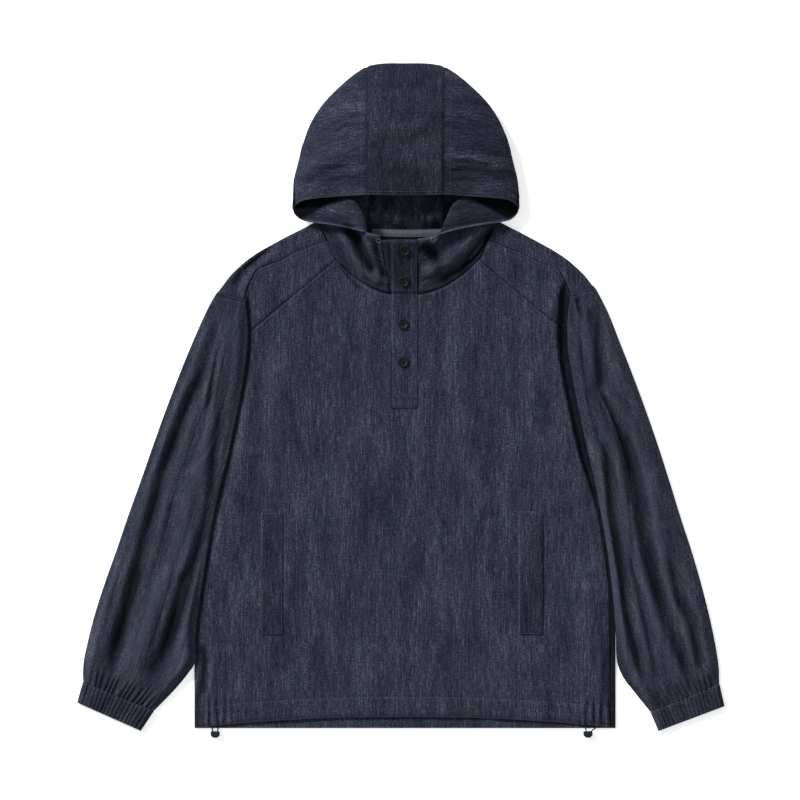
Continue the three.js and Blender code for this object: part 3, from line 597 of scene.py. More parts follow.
def select_alone(obj):
    bpy.ops.object.select_all(action="DESELECT")
    bpy.context.view_layer.objects.active = obj
    obj.select_set(True)


def mesh_object(name, points, faces, edges=(), uvs=()):
    """A new mesh, selected alone; uvs gives each corner's place on the UV map of the cloth."""
    mesh = bpy.data.meshes.new(name)
    mesh.from_pydata(points, edges, faces)
    if uvs:
        layer = mesh.uv_layers.new(name="cloth")
        for loop, uv in zip(layer.data, uvs):
            loop.uv = uv
    obj = bpy.data.objects.new(name, mesh)
    bpy.context.scene.collection.objects.link(obj)
    select_alone(obj)
    return obj


def cloth_object(name, rows, uvs, wear_and_shading, ring=False, flip=False, leave=None, thickness=DENIM_MM):
    """A thin closed shell of cloth from a grid of its outer points."""
    count = len(rows[0])
    corners = []
    faces = []
    for r in range(len(rows) - 1):
        for c in range(count if ring else count - 1):
            if leave and leave(rows[r][c], rows[r + 1][(c + 1) % count]):
                continue
            quad = [(r, c), (r, c + 1), (r + 1, c + 1), (r + 1, c)]
            if flip:
                quad.reverse()
            faces.append([i * count + j % count for i, j in quad])
            corners += quad
    points = [metres(point) for row in rows for point in row]
    obj = mesh_object(name, points, faces, uvs=[uvs[i][j] for i, j in corners])
    wear_and_shade_tone = obj.data.attributes.new("wear_and_shading", "FLOAT", "POINT")
    wear_and_shade_tone.data.foreach_set("value", [value for row in wear_and_shading for value in row])
    shell = obj.modifiers.new("cloth", "SOLIDIFY")
    shell.thickness = thickness * MM
    shell.offset = -1
    bpy.ops.object.modifier_apply(modifier=shell.name)
    bpy.ops.object.mode_set(mode="EDIT")
    bpy.ops.mesh.select_all(action="SELECT")
    bpy.ops.mesh.delete_loose()
    bpy.ops.object.mode_set(mode="OBJECT")
    bpy.ops.object.shade_smooth_by_angle(angle=math.radians(55))
    obj.select_set(False)
    return obj


print("the shell of denim is", DENIM_MM, "mm thick")

# %% [markdown]
# ### Finishing a piece
#
# Each piece gets its material, hides the CAD node that it stands for, and rides on the one body.
# Shade is painted into the bottom of a fold and highlight onto its ridges, and painted shade can
# be taken off a piece's wear and shading at any place.


# %% Finishing a piece
def declare(obj, material, node=None):
    """Gives a piece its material and body, and hides the CAD node that it stands for."""
    obj.data.materials.append(material)
    if node:
        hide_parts(node)
    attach(obj, "root")


def finish_cloth(obj, node, material):
    """Declares a cut piece, and prints how many faces it has."""
    declare(obj, material, node)
    print(obj.name, len(obj.data.polygons), "faces")


def paint_shading(rows, wear_and_shading, shade):
    """Paints shade: shade gives 0 to 1 at a point, taken off its wear and shading; below 0 it paints
    highlight.
    """
    for row, row_shading in zip(rows, wear_and_shading):
        for c, (x, y, _) in enumerate(row):
            row_shading[c] -= shade(x, y)


def fold_painted_shading(folds, deep):
    """Painted shade: 1 in the bottom of the folds, where deep millimetres are full depth; painted
    highlight on their ridges.
    """
    return lambda x, y: clamp(-creases(folds, x, y) / deep, -RIDGE_PAINTED_HIGHLIGHT, 1)


GRIDS = {}  # the outer points of the panels whose own edges are stitched
# the painted highlight on a ridge, as a share of the painted shade in the bottom of a fold
print("a ridge is worn", RIDGE_PAINTED_HIGHLIGHT, "as much as the bottom of a fold is kept dark")

# %% [markdown]
# ## The body
#
# The outlines are read from the photograph as distances from the middle. The left shoulder lies
# 7 mm nearer the middle than the right one, and the front and the back share the side seams.

# %% Outlines of the body and the sleeves
HALF_WIDTH = 301
UNDERARM_Y = 355
LEFT_SHIFT = 7.2
NECK_HALF = 107
# height up the body, distance from the middle
FRONT_ARMHOLE = [
    (355, 301), (395, 276), (430, 262), (470, 252), (510, 246), (545, 243), (556, 242), (619.5, 237),
]
BACK_ARMHOLE = [(355, 301), (400, 288), (470, 272), (540, 266), (600, 270), (631, 269.5)]
# inner x and y, outer x and y, from the shoulder to the cuff
SLEEVE_EDGES = {
    "right": [
        (236, 618.5, 272, 629.5), (232, 580, 290, 594.5), (233, 540, 306.5, 553),
        (240, 497, 325, 506), (250, 447, 344, 455), (261, 396, 362, 403), (272.5, 345, 379, 350),
        (282.5, 293, 395, 298), (291, 240, 411, 249), (297.5, 186, 425, 200),
        (301, 135, 436.5, 154), (302.5, 98, 444.5, 115), (311, 74, 448.5, 88),
        (329, 50, 449, 74), (350, 24, 449.3, 64.5),
    ],
    "left": [
        (-227, 610, -270.5, 620.5), (-224, 575, -282.5, 599), (-225, 540, -301, 558),
        (-230.5, 497, -320, 512), (-240, 447, -340, 460), (-251, 396, -358.5, 409),
        (-263.5, 345, -377, 356), (-274.5, 293, -395, 306), (-284, 240, -412, 256),
        (-292, 186, -429, 208), (-298.5, 135, -443.5, 163), (-299.5, 97, -453, 126),
        (-311, 77, -459, 98), (-333, 51, -460.5, 80), (-358.5, 25, -460, 67),
    ],
}
SIGNS = {"left": -1, "right": 1}


def side_shift(sign, y):
    """How much nearer the middle the left side lies than the right, above the underarm."""
    return LEFT_SHIFT * smooth((y - 330) / 200) if sign < 0 else 0.0


def on_side(sign, x, y):
    return sign * (x - side_shift(sign, y))


def reach(armhole, sign, y):
    """How far from the middle the panel's edge lies at that height."""
    if y <= UNDERARM_Y:
        return HALF_WIDTH
    return between(armhole, row_at(armhole, 0, y))[1] - side_shift(sign, y)


def side_of(sign):
    return "left" if sign < 0 else "right"


def sleeve_inner(sign, y):
    rows = SLEEVE_EDGES[side_of(sign)]
    return abs(between(rows, row_at(rows, 1, y))[0])


print("the front is", 2 * HALF_WIDTH, "mm wide at the hem")

# %% [markdown]
# ### The front panel
#
# The front lies on the back. Its edge is low where the sleeve lies over it, and from there it rises
# to its level middle. It is one cut piece, with a slit for the placket, and a hem turned up 28 mm
# to hold the cords. The cloth is never quite flat: it ripples by a millimetre, mostly along the
# grain, it is drawn up in small puckers at the hem's stitches and beside the cords, and it sinks
# beside the sleeves.

# %% The front's heights
FRONT_EDGE_TOP = 4.3
FRONT_RISE = 2.5
RISE_WIDTH = 20
FLAT_EDGE = 4
HEM_ARCH = 16  # the hem lies this much higher in its middle than at its ends
HEM_BAND = 28
HEM_REACH = 60
NECK_LOW = 618.5
NECK_RISE = 52
NECK_HIGH = 668
YOKE_SLOPE = 0.834
# soft ripples over the whole front: height, width, length and seed
BODY_RIPPLES = [(1.7, 60, 190, 1), (0.7, 24, 66, 2)]
CORD_X = {"left": -271.4, "right": 266}
BODY_FOLDS = [
    (-1.6, 9, [(-262, 566), (-246, 500), (-252, 430), (-262, 380)]),
    (0.9, 14, [(-196, 540), (-186, 430), (-200, 340)]),
    (-0.9, 9, [(-285, 345), (-240, 330), (-196, 300)]),
    (-0.9, 9, [(285, 345), (246, 322), (206, 296)]),
    (0.8, 12, [(-60, 452), (-92, 390), (-104, 300)]),
    (0.8, 12, [(56, 440), (84, 372), (92, 280)]),
    (-0.7, 6, [(-34, 452), (-42, 420), (-44, 380)]),
    (-0.7, 6, [(30, 450), (38, 412), (40, 372)]),
    (-6.0, 5, [(-290, 122), (-286, 92), (-289, 40)]),
    (-3.0, 5, [(290, 112), (287, 80), (289, 44)]),
]


def rise_foot(sign, y):
    return min(sleeve_inner(sign, y), reach(FRONT_ARMHOLE, sign, y) - FLAT_EDGE)


def front_top(x, y):
    """The height of the CAD front's outer face."""
    sign = -1 if x < 0 else 1
    inward = rise_foot(sign, y) - abs(x)
    return FRONT_EDGE_TOP + FRONT_RISE * smooth(inward / RISE_WIDTH)


def hem_y(x):
    return HEM_ARCH * (1 - min(1, abs(x) / HALF_WIDTH) ** 2.3)


def neck_half(x):
    return NECK_HALF - LEFT_SHIFT if x < 0 else NECK_HALF


def neck_y(x):
    return NECK_LOW + NECK_RISE * min(1, abs(x) / neck_half(x)) ** 2.2


def front_top_y(x):
    past = abs(x) - neck_half(x)
    return neck_y(x) if past < 0 else NECK_HIGH - YOKE_SLOPE * past


def groove_width(y):
    """How wide the groove between the front's fold and the right sleeve is."""
    return lerp(3.5, 12, smooth((y - 300) / 110)) * smooth((652 - y) / 40)


def in_groove(x, y):
    """Painted shade: 1 in the groove along the right sleeve, a little less in the left one, 0 outside."""
    wide = groove_width(y) if x > 0 else 2.5
    inward = rise_foot(-1 if x < 0 else 1, y) - abs(x)
    return (1 - smooth((inward - wide) / 2.5)) * (1 if x > 0 else 0.6)


def armhole_fold(x, y):
    """The front stands up in a fold along the right sleeve, and drops into a groove beside it."""
    wide = groove_width(y)
    inward = rise_foot(1, y) - x
    if x < 0 or inward > 80:
        return 0.0
    groove = (3.2 - front_top(x, y)) * (1 - smooth((inward - wide + 1) / 4))
    crest = 0.4 * wide * smooth((inward - wide + 1) / 5) * hump(max(0.0, inward - wide - 6), 22)
    return smooth((wide - 1) / 3) * (groove + crest)


def hem_relief(x, y, up):
    """The hem, up millimetres from its edge: a roll, a doubled band, its stitches and puckers."""
    height = 0.5 * smooth((HEM_BAND - up) / 2) - 1.7 * hump(up, 3.0)
    height -= 0.55 * hump(up - HEM_BAND, 1.6)
    fade = smooth(up / 6) * smooth((HEM_REACH - up) / 34)
    height += 0.35 * fade * math.cos(x / 1.9 + 3 * rumple(x, 0, 30, 30, 3))
    for cord_x in CORD_X.values():
        near = hump(x - cord_x, 20) * smooth((52 - up) / 30)
        drift = 2.6 * rumple(x, y, 16, 44, 4)
        height += 2.1 * near * math.cos((x - cord_x) / 1.7 + drift)
    return height


def body_relief(x, y):
    """How the laid cloth ripples over the level CAD face."""
    inside = smooth((HALF_WIDTH - abs(x)) / 30)
    height = inside * ripples(BODY_RIPPLES, x, y)
    height += inside * creases(BODY_FOLDS, x, y) + armhole_fold(x, y)
    up = y - hem_y(x)
    return height + hem_relief(x, y, up) if up < HEM_REACH else height


print("the chest lies", round(front_top(0, 400), 1), "mm over the table")

# %% [markdown]
# ### The front panel's grid
#
# The grid's columns stand closer where the cloth bends: along the slit, where the front rises to its
# level, and at the side. Its rows stand closer in the hem and at the neck. Both follow the panel's
# own edges, so no edge is stepped, and the faces in the slit for the placket are left out.

# %% The front panel's grid
SLIT = (-20.4, 18.8)
SLIT_BOTTOM = 461  # the strips' box-stitched end lies on the cloth below it
CORE = {1: [0, 4, 8, 12, 15.5, 18.8, 22, 26], -1: [0, 4, 8, 12, 16, 20.4, 24, 28]}
OUTER_STEPS = [0.86 * f for f in steps(56)[1:]] + [lerp(0.86, 1, f) for f in steps(18)[1:]]
EDGE_STEPS = steps(6)[1:]
RISE_STEPS = steps(15)[1:]
HEM_ROWS = [0, 0.8, 2, 4, 7.5, 11.5, 15.5, 19.5, 23.5, 26, 27.2, 28.4, 30, 33, 37, 41.5, 46]
TOP_ROWS = [13, 9.5, 7, 5, 3.4, 2, 1, 0]
BODY_ROWS = steps(132)


def front_column(sign, column, y):
    foot = rise_foot(sign, y)
    core = CORE[sign]
    if column < len(core):
        return core[column]
    column -= len(core)
    if column < len(OUTER_STEPS):
        return lerp(core[-1], foot - RISE_WIDTH, OUTER_STEPS[column])
    column -= len(OUTER_STEPS)
    if column < len(RISE_STEPS):
        return lerp(foot - RISE_WIDTH, foot, RISE_STEPS[column])
    return lerp(foot, reach(FRONT_ARMHOLE, sign, y), EDGE_STEPS[column - len(RISE_STEPS)])


def front_y(x, row):
    low = hem_y(x)
    high = front_top_y(x)
    if row < len(HEM_ROWS):
        return low + HEM_ROWS[row]
    row -= len(HEM_ROWS)
    if row < len(BODY_ROWS) - 2:
        return lerp(low + HEM_ROWS[-1], high - TOP_ROWS[0], BODY_ROWS[row + 1])
    return high - TOP_ROWS[row - len(BODY_ROWS) + 2]


def front_grid():
    count = len(CORE[1]) + len(OUTER_STEPS) + len(RISE_STEPS) + len(EDGE_STEPS)
    sides = [(-1, i) for i in range(count - 1, 0, -1)] + [(1, i) for i in range(count)]
    rows = []
    for row in range(len(HEM_ROWS) + len(BODY_ROWS) - 2 + len(TOP_ROWS)):
        line = []
        for sign, column in sides:
            x = 0.0
            y = 0.0
            for _ in range(3):
                y = front_y(x, row)
                x = sign * front_column(sign, column, y)
            line.append((x, y, front_top(x, y) + body_relief(x, y)))
        rows.append(line)
    return rows


def in_slit(a, b):
    """Whether a face lies in the slit for the placket."""
    x = (a[0] + b[0]) / 2
    y = (a[1] + b[1]) / 2
    return SLIT[0] < x < SLIT[1] and y > SLIT_BOTTOM


def flat_uvs(rows, offset):
    """UVs of a panel that lies flat, in metres, moved aside so that no two panels match."""
    return [[(x * MM + offset, y * MM + offset) for x, y, _ in row] for row in rows]


COLLAR_GAP = [(-96, 668), (-88, 656), (-78, 642), (-68, 631), (-60, 625)]


def under_collar(x, y):
    """Painted shade: 1 where the collar stands off the front at the left, and no light comes in."""
    away, along = distance_to(COLLAR_GAP, x, y)
    return 0.9 * hump(away, 3.2) * smooth(along / 0.2) * smooth((1 - along) / 0.2)


# the hem edge is pale, with wear and painted highlight, and the neck edge gets painted shade; then shade
# is painted in the grooves by the sleeves, under the collar and in the folds, with painted highlight on
# the folds' ridges
front_rows, front_wear_and_shading = turn_edges(
    front_grid(), {"first": 0.7, "last": -0.2, "left": 0.2, "right": 0.2}, roll=0.8,
)
for shade in (in_groove, under_collar, fold_painted_shading(BODY_FOLDS, 5.0)):
    paint_shading(front_rows, front_wear_and_shading, shade)
front = cloth_object("denim_front", front_rows, flat_uvs(front_rows, 0.0), front_wear_and_shading, leave=in_slit)
finish_cloth(front, "front_panel", DENIM)

# %% [markdown]
# ### The front yokes
#
# Between the slanting seam and the shoulder seam lies a small yoke on each side. It is ruled: a
# straight line joins each point of its lower seam to one of its upper seam.

# %% The front yokes
# low x and y, high x and y, from the neck to the armhole
YOKE = [
    (107.3, 668.5, 119.5, 697.5), (130, 649.5, 143, 688.5), (155, 628.5, 166, 679.5),
    (182, 606, 190, 667.5), (206, 586, 209, 661), (222, 573, 219, 656), (232, 564.5, 229, 639),
    (242, 556, 237, 619.5),
]
LEFT_DROP = 8
YOKE_COLUMNS = 46
YOKE_ROWS = [0, 0.012, 0.03, 0.06, 0.1] + [lerp(0.14, 0.86, f) for f in steps(14)]
YOKE_ROWS += [0.9, 0.94, 0.97, 0.988, 1]


def yoke_grid(sign):
    rows = []
    for f in YOKE_ROWS:
        line = []
        for g in steps(YOKE_COLUMNS):
            t = g * (len(YOKE) - 1)
            low_x, low_y, high_x, high_y = between(YOKE, t)
            tip = smooth(t - len(YOKE) + 2)
            drop = LEFT_DROP * f * tip if sign < 0 else 0
            x = on_side(sign, lerp(low_x, high_x, f), 600)
            y = lerp(low_y, high_y, f) - drop
            line.append((x, y, front_top(x, y) + body_relief(x, y)))
        rows.append(line if sign > 0 else line[::-1])
    return rows


for side, sign in SIGNS.items():
    rows, wear_and_shading = turn_edges(
        yoke_grid(sign), {"first": -0.3, "last": -0.2, "left": 0.2, "right": 0.2}, roll=0.65, swell=0.4,
    )
    # painted shade in the grooves along the sleeves
    paint_shading(rows, wear_and_shading, in_groove)
    GRIDS["yoke_" + side] = rows
    yoke = cloth_object("denim_yoke_" + side, rows, flat_uvs(rows, 1.3 * sign), wear_and_shading)
    finish_cloth(yoke, "front_yoke_" + side, DENIM)

# %% [markdown]
# ### The back panel
#
# The back lies flat on the table, and at the shoulders it folds over to the front, where it meets
# the yokes. So its grid lies flat up to the fold, and its last rows go round it.

# %% The back panel
# outer edge x and y, seam x and y, radius of the fold
SHOULDER = [
    (134, 724.5, 120, 698, 3.5), (151.6, 715, 143, 689, 3.5), (174.5, 703.6, 166, 680, 3.5),
    (196, 692, 190, 668, 3.5), (216, 680.7, 209, 661.5, 3.5), (233, 669, 219, 656.5, 3.4),
    (246, 657.8, 225, 648, 3.2), (257.4, 646.4, 230, 638, 3), (266, 635, 235, 626, 2.8),
    (269.5, 631, 237.5, 620.5, 2.7),
]
BACK_NECK = [(0, 709.4), (80, 710), (110, 711.6), (125.5, 720)]
WRAP_FOLDS = [(-3.6, 6, [(-190, 694), (-205, 681), (-222, 664), (-236, 647), (-246, 630)])]
NECK_COLUMNS = 20
SHOULDER_COLUMNS = 54
LEFT_OUT = 5.6
BACK_TOP = 1.2
BACK_ROWS = 110
WRAP_ARC = 9
WRAP_LEG = 7


def shoulder_row(sign, t):
    """The edge, the seam and the radius of the fold at a place along the shoulder."""
    edge_x, edge_y, seam_x, seam_y, radius = between(SHOULDER, t)
    tip = smooth(t - len(SHOULDER) + 2) if sign < 0 else 0
    drop = LEFT_DROP * tip
    edge = Vector((on_side(sign, edge_x, edge_y) - LEFT_OUT * tip, edge_y - drop, 0))
    seam = Vector((on_side(sign, seam_x, seam_y), seam_y - drop, 0))
    return edge, seam, radius


def back_tops(sign):
    """The upper ends of the flat grid's columns, from the middle to the side."""
    tops = []
    for g in steps(NECK_COLUMNS)[:-1]:
        x, y = between(BACK_NECK, g * (len(BACK_NECK) - 1))
        tops.append(Vector((on_side(sign, x, y) if g else 0.0, y, 0)))
    for g in steps(SHOULDER_COLUMNS):
        edge, seam, radius = shoulder_row(sign, g * (len(SHOULDER) - 1))
        tops.append(edge - (edge - seam).normalized() * radius)
    return tops


def back_grid():
    tops = {sign: back_tops(sign) for sign in (-1, 1)}
    count = len(tops[1])
    sides = [(-1, i) for i in range(count - 1, 0, -1)] + [(1, i) for i in range(count)]
    rows = []
    for f in steps(BACK_ROWS):
        line = []
        for sign, i in sides:
            top = tops[sign][i]
            y = lerp(0, top.y, f)
            share = abs(top.x) / abs(tops[sign][-1].x)
            wide = reach(BACK_ARMHOLE, sign, y)
            x = lerp(sign * share * wide, top.x, smooth((f - 0.55) / 0.45))
            line.append((x, y, BACK_TOP))
        rows.append(line)
    return rows


def wrap_grid(sign):
    """The rows that fold over the shoulder, from the flat grid's edge to the seam."""
    rows = [[] for _ in range(WRAP_ARC + 1 + WRAP_LEG)]
    for g in steps(SHOULDER_COLUMNS):
        edge, seam, radius = shoulder_row(sign, g * (len(SHOULDER) - 1))
        out = (edge - seam).normalized()
        centre_line = edge - out * radius
        for k in range(WRAP_ARC + 1):
            angle = -math.pi / 2 + math.pi * k / WRAP_ARC
            point = centre_line + out * radius * math.cos(angle)
            rows[k].append((point.x, point.y, radius + radius * math.sin(angle)))
        for k in range(WRAP_LEG):
            share = (k + 1) / WRAP_LEG
            point = centre_line.lerp(seam, share)
            fade = smooth(share * 2) * smooth(2 - 2 * share)
            height = 2 * radius + 1.3 * creases(WRAP_FOLDS, point.x, point.y)
            height += 0.8 * rumple(point.x, point.y, 26, 26, 5) * fade
            rows[WRAP_ARC + 1 + k].append((point.x, point.y, height))
    return rows


back_rows = back_grid()
back_wear = [[0.0] * len(row) for row in back_rows]
back_sheet = cloth_object("denim_back", back_rows, flat_uvs(back_rows, 2.1), back_wear)
wraps = []
for side, sign in SIGNS.items():
    rows, wear_and_shading = turn_edges(wrap_grid(sign), {"last": 0.2}, roll=0.65, swell=0.4)
    if sign < 0:
        # painted shade in the left shoulder's fold, painted highlight on its ridge
        paint_shading(rows, wear_and_shading, fold_painted_shading(WRAP_FOLDS, 2.8))
    wraps.append(cloth_object("wrap_" + side, rows, flat_uvs(rows, 2.1), wear_and_shading, flip=sign > 0))
select_alone(back_sheet)
for wrap in wraps:
    wrap.select_set(True)
bpy.ops.object.join()
back_sheet.select_set(False)
finish_cloth(back_sheet, "back_panel", DENIM)

# %% [markdown]
# ## The sleeves
#
# Each sleeve is a tube that lies flat and partly over the body. Its section runs from the inner edge
# over the top to the outer edge and back beneath. The long folds are troughs and ridges along lines
# read from the photograph, and above the cuff the cloth is drawn together in about fifteen gathers.

# %% The sleeves' heights
SLEEVE_FOLDS = {
    "left": [
        (-4.0, 7, [(-287, 509), (-305, 472), (-320, 435), (-346, 360), (-366, 286), (-385, 212),
                   (-405, 137), (-424, 60)]),
        (-2.0, 7, [(-266, 590), (-276, 546), (-287, 509), (-303, 474)]),
        (-4.0, 7, [(-252, 480), (-262, 435), (-270, 397), (-275, 323), (-284, 286), (-297, 249),
                   (-310, 212), (-321, 174), (-332, 137), (-345, 100), (-366, 56)]),
        (-2.0, 6, [(-284, 286), (-297, 249), (-310, 212), (-321, 174), (-332, 137), (-345, 100)]),
        (1.4, 10, [(-285, 440), (-300, 350), (-325, 262), (-345, 200), (-366, 130), (-384, 76)]),
        (-3.0, 15, [(-375, 240), (-393, 185), (-410, 130), (-428, 70)]),
        (-3.0, 15, [(-306, 230), (-322, 180), (-342, 125), (-372, 62)]),
        (-2.0, 5, [(-405, 330), (-420, 262), (-432, 190)]),
        (-1.8, 3, [(-262, 560), (-274, 500), (-284, 446)]),
    ],
    "right": [
        (-4.8, 8, [(283, 480), (303, 435), (317, 400), (326, 366), (336, 320), (343, 272), (355, 223),
                   (367, 187), (380, 147), (392, 112), (404, 80), (414, 46)]),
        (-4.4, 7, [(285, 423), (292, 378), (296, 320), (303, 259), (310, 223), (315, 176), (325, 129),
                   (336, 86), (346, 57)]),
        (-1.5, 5, [(319, 252), (332, 212), (346, 140), (353, 104), (367, 37)]),
        (-3.2, 7, [(379, 252), (389, 187), (412, 152), (418, 116), (426, 69)]),
        (2.6, 7, [(272, 345), (286, 283), (299, 212), (307, 153), (319, 117), (332, 80), (340, 44)]),
        (1.8, 8, [(350, 380), (362, 300), (374, 220), (390, 150)]),
        (-2.6, 2.6, [(280, 482), (290, 464), (300, 442), (310, 416), (320, 386), (327, 356)]),
        (-3.2, 8, [(264, 604), (272, 578), (279, 546), (284, 509), (280, 474)]),
        (-1.8, 3, [(246, 614), (250, 600), (256, 586)]),
    ],
}
# soft ripples along the sleeve: height, width, length and seed
SLEEVE_RIPPLES = [(1.7, 24, 110, 21), (0.8, 9, 46, 22)]
SLEEVE_EDGE = 5.2
SLEEVE_TOP = 5.8
SLEEVE_HIGH = 9.6
SLEEVE_LOW = 3.0  # two layers of cloth: no fold presses the tube flatter
SOFT_FLOOR = 1.1
SLEEVE_SLANT = 1.04  # millimetres along the slanting sleeve for one up the pattern
GATHERS = 15
PLATEAU = 4
BACK_FALL = 9
SLEEVE_ROWS = 156
TOP_COLUMNS = 126
BOTTOM_COLUMNS = 24


def sleeve_floor(x, y):
    """How high the sleeve's under face is held up by the body beneath it."""
    sign = -1 if x < 0 else 1
    fall = lerp(26, 13, smooth((y - 300) / 100))
    on_front = 1 - smooth((abs(x) - reach(FRONT_ARMHOLE, sign, y) - PLATEAU) / fall)
    on_back = 1 - smooth((abs(x) - reach(BACK_ARMHOLE, sign, y) - 3) / BACK_FALL)
    return max(5.0 * on_front, 2.6 * on_back)


def gather_wave(side, f, up):
    """The gathers' height above the cuff: f across the sleeve, up in millimetres from the cuff."""
    wave = f * GATHERS + 0.55 * rumple(f * 100, 0, 9, 9, 11 + len(side))
    crest = int(math.floor(wave + 0.5))
    length = 26 + 34 * abs(noise.noise(Vector((crest * 1.7, len(side), 0.5))))
    return math.cos(2 * math.pi * wave) * smooth(1 - up / length)


def sleeve_height(side, x, y, f, up):
    """The height of the sleeve's outer face over its own under face."""
    shoulder = smooth((600 - y) / 60)
    height = lerp(SLEEVE_TOP, SLEEVE_HIGH, shoulder)
    height += 3.0 * smooth(up / 30) * smooth((190 - up) / 130) - 2.0 * smooth((22 - up) / 22)
    height += ripples(SLEEVE_RIPPLES, x, y)
    height += 2.0 * creases(SLEEVE_FOLDS[side], x, y)
    height += 1.7 * gather_wave(side, f, up)
    over = min(30.0, SOFT_FLOOR * (height - SLEEVE_LOW))
    return SLEEVE_LOW + math.log1p(math.exp(over)) / SOFT_FLOOR


def sleeve_section(side, t):
    """The ring of points round the sleeve, t rows down its edges, and their places round it."""
    inner_x, inner_y, outer_x, outer_y = between(SLEEVE_EDGES[side], t)
    width = math.hypot(outer_x - inner_x, outer_y - inner_y)
    end = SLEEVE_EDGES[side][-1]
    ring = []
    places = []

    def add(s, share, edge=False):
        """A point s millimetres across the sleeve, at a share of its height there."""
        f = s / width
        x = lerp(inner_x, outer_x, f)
        y = lerp(inner_y, outer_y, f)
        height = SLEEVE_EDGE
        if share and not edge:
            up = max(0.0, (y - lerp(end[1], end[3], f)) * SLEEVE_SLANT)
            inside = smooth((min(s, width - s) - 1.5) / 13)
            height = lerp(SLEEVE_EDGE, sleeve_height(side, x, y, f, up), inside)
        ring.append((x, y, sleeve_floor(x, y) + share * height))
        places.append(s)

    radius = SLEEVE_EDGE / 2
    arc = [-60, -30, 0, 30, 60]
    for degrees in arc:
        angle = math.radians(degrees)
        add(radius * (1 - math.cos(angle)), 0.5 + 0.5 * math.sin(angle), edge=True)
    for g in steps(TOP_COLUMNS):
        add(lerp(radius, width - radius, g), 1)
    for degrees in reversed(arc):
        angle = math.radians(degrees)
        add(width - radius * (1 - math.cos(angle)), 0.5 + 0.5 * math.sin(angle), edge=True)
    for g in steps(BOTTOM_COLUMNS):
        add(lerp(width - radius, radius, g), 0)
    over = len(arc) + TOP_COLUMNS + 1 + len(arc)
    around = [s - width / 2 if i < over else 1.5 * width - s for i, s in enumerate(places)]
    around.append(1.5 * width + radius)
    return ring, around


def sleeve_rows(side):
    rows = []
    uvs = []
    along = 0.0
    before = None
    last = len(SLEEVE_EDGES[side]) - 1
    for g in steps(SLEEVE_ROWS):
        ring, around = sleeve_section(side, g * last)
        middle = Vector(ring[len(ring) // 3])
        if before is not None:
            along += (middle - before).length
        before = middle
        rows.append(ring)
        uvs.append([(a * MM + 0.4 * SIGNS[side], along * MM) for a in around])
    return rows, uvs


print("a sleeve is gathered", GATHERS, "times above its cuff")

# %% [markdown]
# ### The sleeves' cloth
#
# The armhole seam turns the top of each tube in under the body's edge, so its first row is tucked
# inwards, up and down. There the seam's shade is painted dark, and the folds get painted shade in
# their bottoms and painted highlight on their ridges.

# %% The sleeves
TUCK = (2.4, 3.0, 1.2)  # inwards, up the pattern and down

for side, sign in SIGNS.items():
    rows, uvs = sleeve_rows(side)
    rows, wear_and_shading = turn_edges(rows, {"first": -0.7}, roll=0.9)
    # painted shade in the bottoms of the folds, painted highlight on their ridges
    paint_shading(rows, wear_and_shading, fold_painted_shading(SLEEVE_FOLDS[side], 4.6))
    rows[0] = [(x - sign * TUCK[0], y + TUCK[1], z - TUCK[2]) for x, y, z in rows[0]]
    GRIDS["sleeve_" + side] = rows
    tube = cloth_object("denim_sleeve_" + side, rows, uvs, wear_and_shading, ring=True, flip=sign > 0)
    finish_cloth(
        tube, "sleeve_" + side, SLEEVE_DENIM,
    )

# %% [markdown]
# ## The cuffs
#
# A cuff is a casing of the same denim over a wide elastic, stitched along it, so it stands in
# upright ribs. The ribs are uneven: no two rise or stand apart quite alike.

# %% The cuffs
CUFF_EDGES = {
    "right": [(350.2, 23.5, 449.5, 64), (356, 10, 453, 48), (362, -4.2, 456.8, 31.4)],
    "left": [(-358.8, 24.5, -460.2, 66.5), (-368, 10.5, -464.5, 52), (-377.5, -3.8, -468.8, 36.6)],
}
CUFF_HEIGHT = 8.2
CUFF_RADIUS = 3.2
CUFF_ARC = (-60, -25, 10, 45)  # degrees round its side edges
CUFF_UNDER = 24
RIBS = 17
RIB_STEPS = 7
RIB_HIGH = 2.3
CUFF_ROWS = [0, 0.03, 0.08, 0.18, 0.3, 0.42, 0.54, 0.66, 0.78, 0.88, 0.94, 0.975, 1]


def cuff_section(side, t):
    """The ring of points round the cuff, at the share t down it, and their places round it."""
    inner_x, inner_y, outer_x, outer_y = between(CUFF_EDGES[side], t * 2)
    width = math.hypot(outer_x - inner_x, outer_y - inner_y)
    ring = []
    places = []

    def add(s, z):
        x = lerp(inner_x, outer_x, s / width)
        ring.append((x, lerp(inner_y, outer_y, s / width), z))
        places.append(s)

    ends = smooth(t / 0.07) * smooth((1 - t) / 0.07)
    waist = 0.5 * math.cos(6 * math.pi * t)
    arc = []
    for degrees in CUFF_ARC:
        angle = math.radians(degrees)
        height = (CUFF_HEIGHT - 1) * (0.5 + 0.5 * math.sin(angle))
        arc.append((CUFF_RADIUS * (1 - math.cos(angle)), height))
    for s, z in arc:
        add(s, z)
    for g in steps(RIBS * RIB_STEPS):
        wave = g * RIBS + 0.22 * rumple(g * 100, t * 20, 12, 30, 31 + len(side))
        tall = 0.75 + 0.4 * noise.noise(Vector((math.floor(wave) * 1.3, len(side), 2.5)))
        rib = RIB_HIGH * abs(math.sin(math.pi * wave)) ** 0.7
        height = CUFF_HEIGHT - 1.4 + ends * rib * tall + 0.35 * waist
        add(lerp(CUFF_RADIUS, width - CUFF_RADIUS, g), height)
    for s, z in reversed(arc):
        add(width - s, z)
    for g in steps(CUFF_UNDER):
        add(lerp(width - CUFF_RADIUS, CUFF_RADIUS, g), 0.0)
    over = 2 * len(arc) + RIBS * RIB_STEPS + 1
    around = [s if i < over else 2 * width - s for i, s in enumerate(places)]
    around.append(2 * width)
    return ring, around


